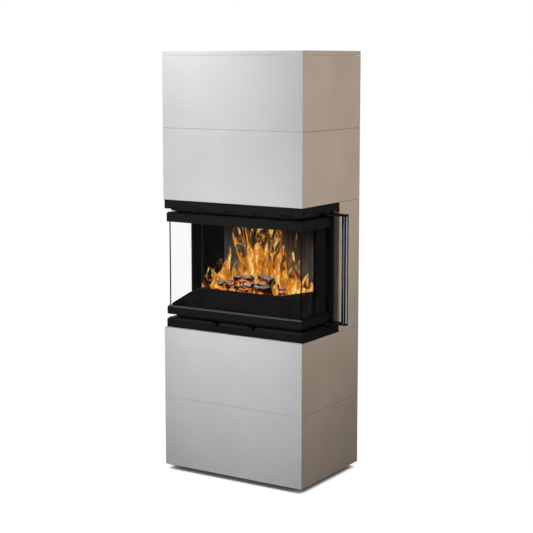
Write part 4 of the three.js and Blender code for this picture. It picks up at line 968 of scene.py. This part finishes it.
@dataclass
class Handle:
    """Round bar between two flat arms."""

    palette: Palette
    facets: int = 72
    end_bevel: float = 0.0022
    bevel_steps: int = 4
    groove_depth: float = 0.0009
    groove_width: float = 0.0016
    groove_from_end: float = 0.014

    def build(self) -> None:
        """Builds the finer bar and dresses the arms."""
        low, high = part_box("handle_bar")
        centre = (low + high) / 2
        radius = (high.x - low.x) / 2
        length = high.z - low.z
        mesh = bmesh.new()
        bmesh.ops.create_cone(
            mesh, cap_ends=True, segments=self.facets, radius1=radius, radius2=radius,
            depth=length, matrix=Matrix.Translation(centre),
        )
        self._cut_groove(mesh, centre, length / 2 - self.groove_from_end)
        self._cut_groove(mesh, centre, self.groove_from_end - length / 2)
        rims = [
            edge for edge in mesh.edges
            if all(abs(abs(v.co.z - centre.z) - length / 2) < SAME_PLACE for v in edge.verts)
        ]
        bmesh.ops.bevel(
            mesh, geom=rims, offset=self.end_bevel, affect="EDGES", segments=self.bevel_steps,
            profile=0.5, material=-1,
        )
        bar = finish_piece(
            mesh, "handle_tube", self.palette[Look.POLISHED], Body.HANDLE
        )
        bar.data.set_sharp_from_angle(angle=math.radians(SHARP_ANGLE))
        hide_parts("handle_bar")
        dress(self.palette[Look.BLACK_STEEL], "handle_crank")

    def _cut_groove(self, mesh: bmesh.types.BMesh, centre: Vector, offset: float) -> None:
        """Cuts a fine ring groove where the tube meets its end plug.

        Args:
            mesh: The bar's bmesh.
            centre: The bar's middle.
            offset: The groove's height above the middle.
        """
        half = self.groove_width / 2
        for height in (offset - half, offset, offset + half):
            bmesh.ops.bisect_plane(
                mesh, geom=mesh.verts[:] + mesh.edges[:] + mesh.faces[:],
                plane_co=(0, 0, centre.z + height), plane_no=(0, 0, 1),
            )
        for vert in mesh.verts:
            if abs(vert.co.z - centre.z - offset) < SAME_PLACE:
                out = Vector((vert.co.x - centre.x, vert.co.y - centre.y, 0))
                vert.co -= out.normalized() * self.groove_depth


# ------------------------------------------------------------------ fire


@dataclass(frozen=True)
class SplitLog:
    """One split log: its middle above the embers' middle, its turn in degrees and its size."""

    place: Point
    turn: float
    radius: float
    length: float


@dataclass(frozen=True)
class Tongue:
    """One tongue of flame: where it stands, how high and wide it is, and how it bends.

    A crown above 0 keeps that share of its width up to the top, where it meets the baffle.
    """

    x: float
    y: float
    z: float
    height: float
    width: float
    lean: float
    curl: float
    phase: float
    crown: float = 0.0


@dataclass
class Fire:
    """Flames, coals and burning wood on the ember bed.

    Lumps and chips are given by how fine they are and by how far they push the surface.
    """

    palette: Palette
    log_facets: int = 20
    log_cuts: int = 18
    log_taper: float = 0.9
    bark_scale: float = 24.0
    bark_push: float = 0.006
    swell_push: Point = (0.0, 0.0, 0.003)
    chip_scale: float = 62.0
    chip_push: Point = (0.0, 0.003, 0.002)
    logs: tuple[SplitLog, ...] = (
        SplitLog((-0.085, -0.022, 0.024), 12.0, 0.024, 0.150),
        SplitLog((0.050, -0.052, 0.022), -24.0, 0.021, 0.120),
        SplitLog((0.095, 0.010, 0.024), 14.0, 0.024, 0.140),
        SplitLog((-0.010, 0.022, 0.023), -6.0, 0.023, 0.170),
        SplitLog((-0.030, -0.028, 0.058), 38.0, 0.019, 0.110),
        SplitLog((0.060, -0.020, 0.062), -32.0, 0.020, 0.120),
    )
    seed: int = 11
    coal_count: int = 260
    coal_size: Span = (0.009, 0.025)
    coal_depth: Span = (0.6, 0.9)
    coal_height: Span = (0.5, 0.8)
    coal_tip: float = 0.5
    coal_lumps: Span = (95.0, 0.34)
    coal_chips: Span = (60.0, 0.16)
    heap_height: float = 0.052
    heap_fullness: float = 0.6
    heap_reach: float = 0.88
    heap_shoulder: float = 0.8
    heap_slope: float = 0.12
    flame_rings: int = 34
    flame_facets: int = 22
    flame_flatness: float = 0.42
    flame_foot: float = 0.16
    flame_belly: Span = (0.55, 0.8)
    flame_narrowing: float = 0.45
    crown_rise: float = 2.2
    crown_cut: float = 0.35
    flame_waves: float = 5.2
    flame_drift: Span = (0.6, 1.3)
    flame_folds: int = 3
    flame_fold_depth: float = 0.22
    flame_twist: float = 4.0
    flame_turn: Span = (0.5, 0.8)
    skin_weld: float = 0.00005
    tongues: tuple[Tongue, ...] = (
        Tongue(-0.196, -0.080, 0.772, 0.100, 0.048, -0.014, 0.010, 0.4),
        Tongue(-0.166, -0.060, 0.776, 0.140, 0.044, -0.004, 0.018, 2.2),
        Tongue(-0.136, -0.050, 0.780, 0.185, 0.024, -0.022, 0.040, 4.0),
        Tongue(-0.112, -0.030, 0.780, 0.125, 0.034, 0.016, 0.020, 1.1),
        Tongue(-0.086, -0.050, 0.785, 0.215, 0.030, -0.022, 0.034, 5.0),
        Tongue(-0.066, -0.020, 0.790, 0.170, 0.034, 0.012, 0.028, 3.1),
        Tongue(-0.026, -0.035, 0.785, 0.270, 0.044, -0.050, 0.030, 0.9, 0.8),
        Tongue(-0.008, -0.010, 0.785, 0.270, 0.046, -0.012, 0.030, 2.6, 0.7),
        Tongue(0.024, -0.035, 0.785, 0.270, 0.042, 0.010, 0.032, 1.9, 0.8),
        Tongue(0.054, -0.010, 0.785, 0.270, 0.048, 0.012, 0.032, 4.4, 0.8),
        Tongue(0.082, -0.035, 0.785, 0.270, 0.042, 0.030, 0.030, 0.2, 0.8),
        Tongue(0.108, -0.020, 0.785, 0.255, 0.034, 0.056, 0.030, 3.6),
        Tongue(0.118, -0.040, 0.780, 0.200, 0.044, 0.010, 0.030, 5.6),
        Tongue(0.150, -0.020, 0.780, 0.195, 0.044, 0.024, 0.026, 1.5),
        Tongue(0.182, -0.040, 0.776, 0.155, 0.042, 0.012, 0.020, 2.9),
        Tongue(0.216, -0.010, 0.776, 0.095, 0.034, 0.024, 0.014, 0.8),
        Tongue(-0.125, -0.090, 0.774, 0.085, 0.020, 0.014, 0.016, 3.9),
        Tongue(-0.075, -0.095, 0.776, 0.060, 0.015, -0.016, 0.012, 5.2),
        Tongue(0.030, -0.100, 0.774, 0.070, 0.015, 0.020, 0.014, 1.3),
        Tongue(0.135, -0.090, 0.776, 0.090, 0.020, -0.010, 0.018, 2.4),
    )

    def build(self) -> None:
        """Builds the burning wood, the coals and the flames."""
        low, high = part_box("ember_bed")
        middle = Vector(((low.x + high.x) / 2, (low.y + high.y) / 2, high.z))
        self._build_logs(middle)
        self._build_coals(middle, (high - low) / 2)
        for number, tongue in enumerate(self.tongues, start=1):
            self._build_tongue(number, tongue, middle)

    def _build_logs(self, middle: Vector) -> None:
        """Builds the split logs that replace the plain log stack.

        Args:
            middle: Middle of the ember bed's upper face.
        """
        noise.seed_set(self.seed)
        mesh = bmesh.new()
        lie = Matrix.Rotation(math.radians(90), 4, "Y")
        for log in self.logs:
            place = Matrix.Translation(middle + Vector(log.place))
            turn = Matrix.Rotation(math.radians(log.turn), 4, "Z")
            made = bmesh.ops.create_cone(
                mesh, cap_ends=True, segments=self.log_facets, radius1=log.radius,
                radius2=log.radius * self.log_taper, depth=log.length, matrix=place @ turn @ lie,
            )
            edges = dict.fromkeys(edge for vert in made["verts"] for edge in vert.link_edges)
            longways = [edge for edge in edges if edge.calc_length() > log.length / 2]
            bmesh.ops.subdivide_edges(
                mesh, edges=longways, cuts=self.log_cuts, use_grid_fill=True
            )
        for vert in mesh.verts:
            swell = noise.fractal(vert.co * self.bark_scale, 0.9, 2.0, 3)
            chips = noise.cell(vert.co * self.chip_scale)
            away = noise.noise_vector(vert.co * self.bark_scale) * self.bark_push
            vert.co += away + Vector(self.swell_push) * swell + Vector(self.chip_push) * chips
        piece = finish_piece(
            mesh, "split_logs", self.palette[Look.BURNT_WOOD], Body.ROOT
        )
        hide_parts("log_stack")

    def _build_coals(self, middle: Vector, half: Vector) -> None:
        """Heaps coals over the ember bed.

        Args:
            middle: Middle of the ember bed's upper face.
            half: Half of the ember bed's size.
        """
        chance = random.Random(self.seed)
        mesh = bmesh.new()
        for _ in range(self.coal_count):
            angle = chance.uniform(0, 2 * math.pi)
            reach = math.sqrt(chance.random()) * self.heap_reach
            size = chance.uniform(*self.coal_size)
            x = middle.x + math.cos(angle) * reach * half.x
            y = middle.y + math.sin(angle) * reach * half.y
            drop = max(0.0, reach - self.heap_shoulder) * self.heap_slope
            heap = self.heap_height * (1 - reach**3) * chance.random() ** self.heap_fullness
            centre = Vector((x, y, middle.z + heap - drop + size * 0.3))
            depth, height = chance.uniform(*self.coal_depth), chance.uniform(*self.coal_height)
            squash = Matrix.Diagonal((1.0, depth, height, 1.0))
            spin = Matrix.Rotation(chance.uniform(0, 6.28), 4, "Z")
            tip = Matrix.Rotation(chance.uniform(-self.coal_tip, self.coal_tip), 4, "X")
            place = Matrix.Translation(centre) @ spin @ tip @ squash
            made = bmesh.ops.create_icosphere(mesh, subdivisions=2, radius=size, matrix=place)
            for vert in made["verts"]:
                lump = noise.noise(vert.co * self.coal_lumps[0]) * self.coal_lumps[1]
                chip = noise.cell(vert.co * self.coal_chips[0]) * self.coal_chips[1]
                vert.co = centre + (vert.co - centre) * (1 + (lump + chip))
        finish_piece(mesh, "coals", self.palette[Look.COAL], Body.ROOT)

    def _build_tongue(self, number: int, tongue: Tongue, middle: Vector) -> None:
        """Builds one tongue of flame as a thin skin, bent from a plain tube.

        Args:
            number: Its number, for its name.
            tongue: Its place and form.
            middle: Middle of the ember bed's upper face.
        """
        mesh = bmesh.new()
        bmesh.ops.create_cone(
            mesh, cap_ends=False, segments=self.flame_facets, radius1=1.0, radius2=1.0, depth=1.0
        )
        uprights = [
            edge for edge in mesh.edges
            if abs(edge.verts[0].co.z - edge.verts[1].co.z) > 0.5
        ]
        bmesh.ops.subdivide_edges(mesh, edges=uprights, cuts=self.flame_rings, use_grid_fill=True)
        layer = mesh.loops.layers.uv.new("flame")
        for face in mesh.faces:
            for loop in face.loops:
                around = abs(math.atan2(loop.vert.co.y, loop.vert.co.x)) / math.pi
                height = (loop.vert.co.z + 0.5) * (1 - self.crown_cut * tongue.crown)
                loop[layer].uv = (around, height)
        for vert in mesh.verts:
            vert.co = self._flame_point(tongue, vert.co, middle)
        bmesh.ops.remove_doubles(mesh, verts=mesh.verts[:], dist=self.skin_weld)
        finish_piece(mesh, f"flame_{number}", self.palette[Look.FLAME], Body.ROOT)

    def _flame_point(self, tongue: Tongue, place: Vector, middle: Vector) -> Vector:
        """Carries a point of a plain tube to its place on a tongue.

        Args:
            tongue: The tongue.
            place: The point on a tube of radius and height 1.
            middle: Middle of the ember bed's upper face.

        Returns:
            The point in the object's frame.
        """
        rise = place.z + 0.5
        low, blunt = self.flame_belly
        swell = math.sin(math.pi * min(1.0, rise) ** low) ** blunt if rise > 0 else 0.0
        crown = tongue.crown * min(1.0, rise * self.crown_rise)
        swell = max(swell * (1 - self.flame_narrowing * rise), crown)
        girth = tongue.width * (self.flame_foot * (1 - rise) + swell)
        wave = tongue.phase + rise * self.flame_waves
        sway = tongue.curl * math.sin(wave) * rise + tongue.lean * rise
        share, pace = self.flame_drift
        drift = tongue.curl * share * math.cos(wave * pace) * rise
        angle = math.atan2(place.y, place.x)
        ripple = math.sin(self.flame_folds * angle + tongue.phase + rise * self.flame_twist)
        fold = 1 + self.flame_fold_depth * ripple * rise
        turn = self.flame_turn[0] + self.flame_turn[1] * math.sin(tongue.phase)
        u = math.cos(angle) * girth * fold
        v = math.sin(angle) * girth * self.flame_flatness * fold
        return Vector((
            middle.x + tongue.x + sway + u * math.cos(turn) - v * math.sin(turn),
            tongue.y + drift + u * math.sin(turn) + v * math.cos(turn),
            tongue.z + rise * tongue.height,
        ))


# ------------------------------------------------------------------ studio


@dataclass(frozen=True)
class Lamp:
    """A soft square lamp: where it hangs, what it points at, its side, power and beam.

    Past its beam, an angle in degrees, it lights nothing.
    """

    name: str
    place: Point
    aim: Point
    size: float
    watts: float
    beam: float

    def build(self) -> None:
        """Hangs the lamp, unseen in mirrors and through glass."""
        data = bpy.data.lights.new(self.name, "AREA")
        data.shape = "SQUARE"
        data.size = self.size
        data.energy = self.watts
        data.spread = math.radians(self.beam)
        lamp = bpy.data.objects.new(self.name, data)
        lamp.location = self.place
        lamp.rotation_mode = "QUATERNION"
        aim = Vector(self.aim) - Vector(self.place)
        lamp.rotation_quaternion = aim.to_track_quat("-Z", "Y")
        lamp.visible_glossy = False
        lamp.visible_transmission = False
        bpy.context.scene.collection.objects.link(lamp)


@dataclass
class Studio:
    """Floor, lights and camera.

    What polished steel mirrors is given as pairs of bearing in degrees and brightness.
    """

    camera_place: Point = (3.0172, -4.7791, 1.7447)
    camera_yaw: float = 32.376
    camera_pitch: float = 7.431
    sensor: float = 36.0
    focal_pixels: float = 1352.3
    image_pixels: float = 533.0
    shift_down: float = 30.0
    floor_size: float = 40.0
    floor_gap: float = 0.0005
    lamps: tuple[Lamp, ...] = (
        Lamp("key_light", (-0.15, -2.3, 1.1), (-0.11, -0.23, 0.7), 1.1, 3.4, 48.6),
        Lamp("top_light", (-0.96, -1.04, 2.66), (-0.24, -0.2, 2.0), 0.9, 8.0, 75.0),
        Lamp("side_light", (3.6, -0.2, 1.06), (0.3, -0.2, 1.59), 1.2, 14.6, 66.0),
    )
    fill: float = 0.2
    fill_through_glass: float = 1.0
    mirrored: tuple[Span, ...] = (
        (-178.0, 0.9), (-46.0, 1.0), (-41.0, 0.3), (-23.0, 0.3), (-18.0, 1.0), (-6.0, 1.0),
        (2.0, 0.01), (56.0, 0.01), (62.0, 1.0), (100.0, 1.0), (112.0, 0.04), (176.0, 0.04),
    )

    def build(self) -> None:
        """Builds the studio."""
        self._world()
        self._floor()
        for lamp in self.lamps:
            lamp.build()
        self._camera()
        bpy.context.scene.view_settings.view_transform = "Standard"

    def _world(self) -> None:
        """White to the camera, a soft fill, and in reflections a studio with dark sides."""
        world = bpy.data.worlds.new("studio_world")
        bpy.context.scene.world = world
        world.use_nodes = True
        graph = Graph(world.node_tree)
        straight, mirrored = seen_rays(graph)
        towards = graph.split(graph.node("TexCoord").outputs["Generated"])
        bearing = graph.math("ARCTAN2", towards["X"], graph.times(towards["Y"], -1.0))
        turn = graph.node("MapRange", Value=bearing, From_Min=-math.pi, From_Max=math.pi)
        ramp = graph.node("ValToRGB", Fac=turn.outputs["Result"])
        stops = ramp.color_ramp.elements
        stops.remove(stops[1])
        stops[0].color = BLACK
        for degrees, level in self.mirrored:
            stops.new((degrees + 180) / 360).color = (level, level, level, 1.0)
        shown = graph.times(ramp.outputs["Color"], mirrored)
        through = graph.node("LightPath").outputs["Is Transmission Ray"]
        fill = graph.span(through, 0.0, 1.0, self.fill, self.fill_through_glass)
        unseen = graph.times(graph.math("SUBTRACT", 1.0, mirrored), fill)
        strength = graph.math("MAXIMUM", graph.math("ADD", unseen, shown), straight)
        background = world.node_tree.nodes["Background"]
        background.inputs["Color"].default_value = WHITE
        graph.feed(background.inputs["Strength"], strength)

    def _floor(self) -> None:
        """Wide pale floor under the feet."""
        mesh = bmesh.new()
        bmesh.ops.create_grid(mesh, x_segments=1, y_segments=1, size=self.floor_size / 2)
        data = bpy.data.meshes.new("floor")
        mesh.to_mesh(data)
        mesh.free()
        data.materials.append(StageFinish("studio_floor").build())
        floor = bpy.data.objects.new("floor", data)
        floor.location.z = -self.floor_gap
        floor.visible_glossy = False
        bpy.context.scene.collection.objects.link(floor)

    def _camera(self) -> None:
        """Camera at the photograph's angle."""
        data = bpy.data.cameras.new("camera")
        data.sensor_width = self.sensor
        data.lens = self.sensor * self.focal_pixels / self.image_pixels
        data.shift_y = -self.shift_down / self.image_pixels
        camera = bpy.data.objects.new("camera", data)
        bpy.context.scene.collection.objects.link(camera)
        level = Matrix.Rotation(math.radians(90 - self.camera_pitch), 4, "X")
        turn = Matrix.Rotation(math.radians(self.camera_yaw), 4, "Z")
        camera.matrix_world = Matrix.Translation(self.camera_place) @ turn @ level
        bpy.context.scene.camera = camera


def main() -> None:
    """Builds and dresses the stove, then the studio."""
    logging.basicConfig(level=logging.INFO, format="%(name)s: %(message)s")
    palette = {look: look.value.build() for look in Look}
    Casing(palette).dress()
    Insert(palette).dress()
    Door(palette).dress()
    Handle(palette).build()
    Fire(palette).build()
    Studio().build()


if __name__ == "__main__":
    main()
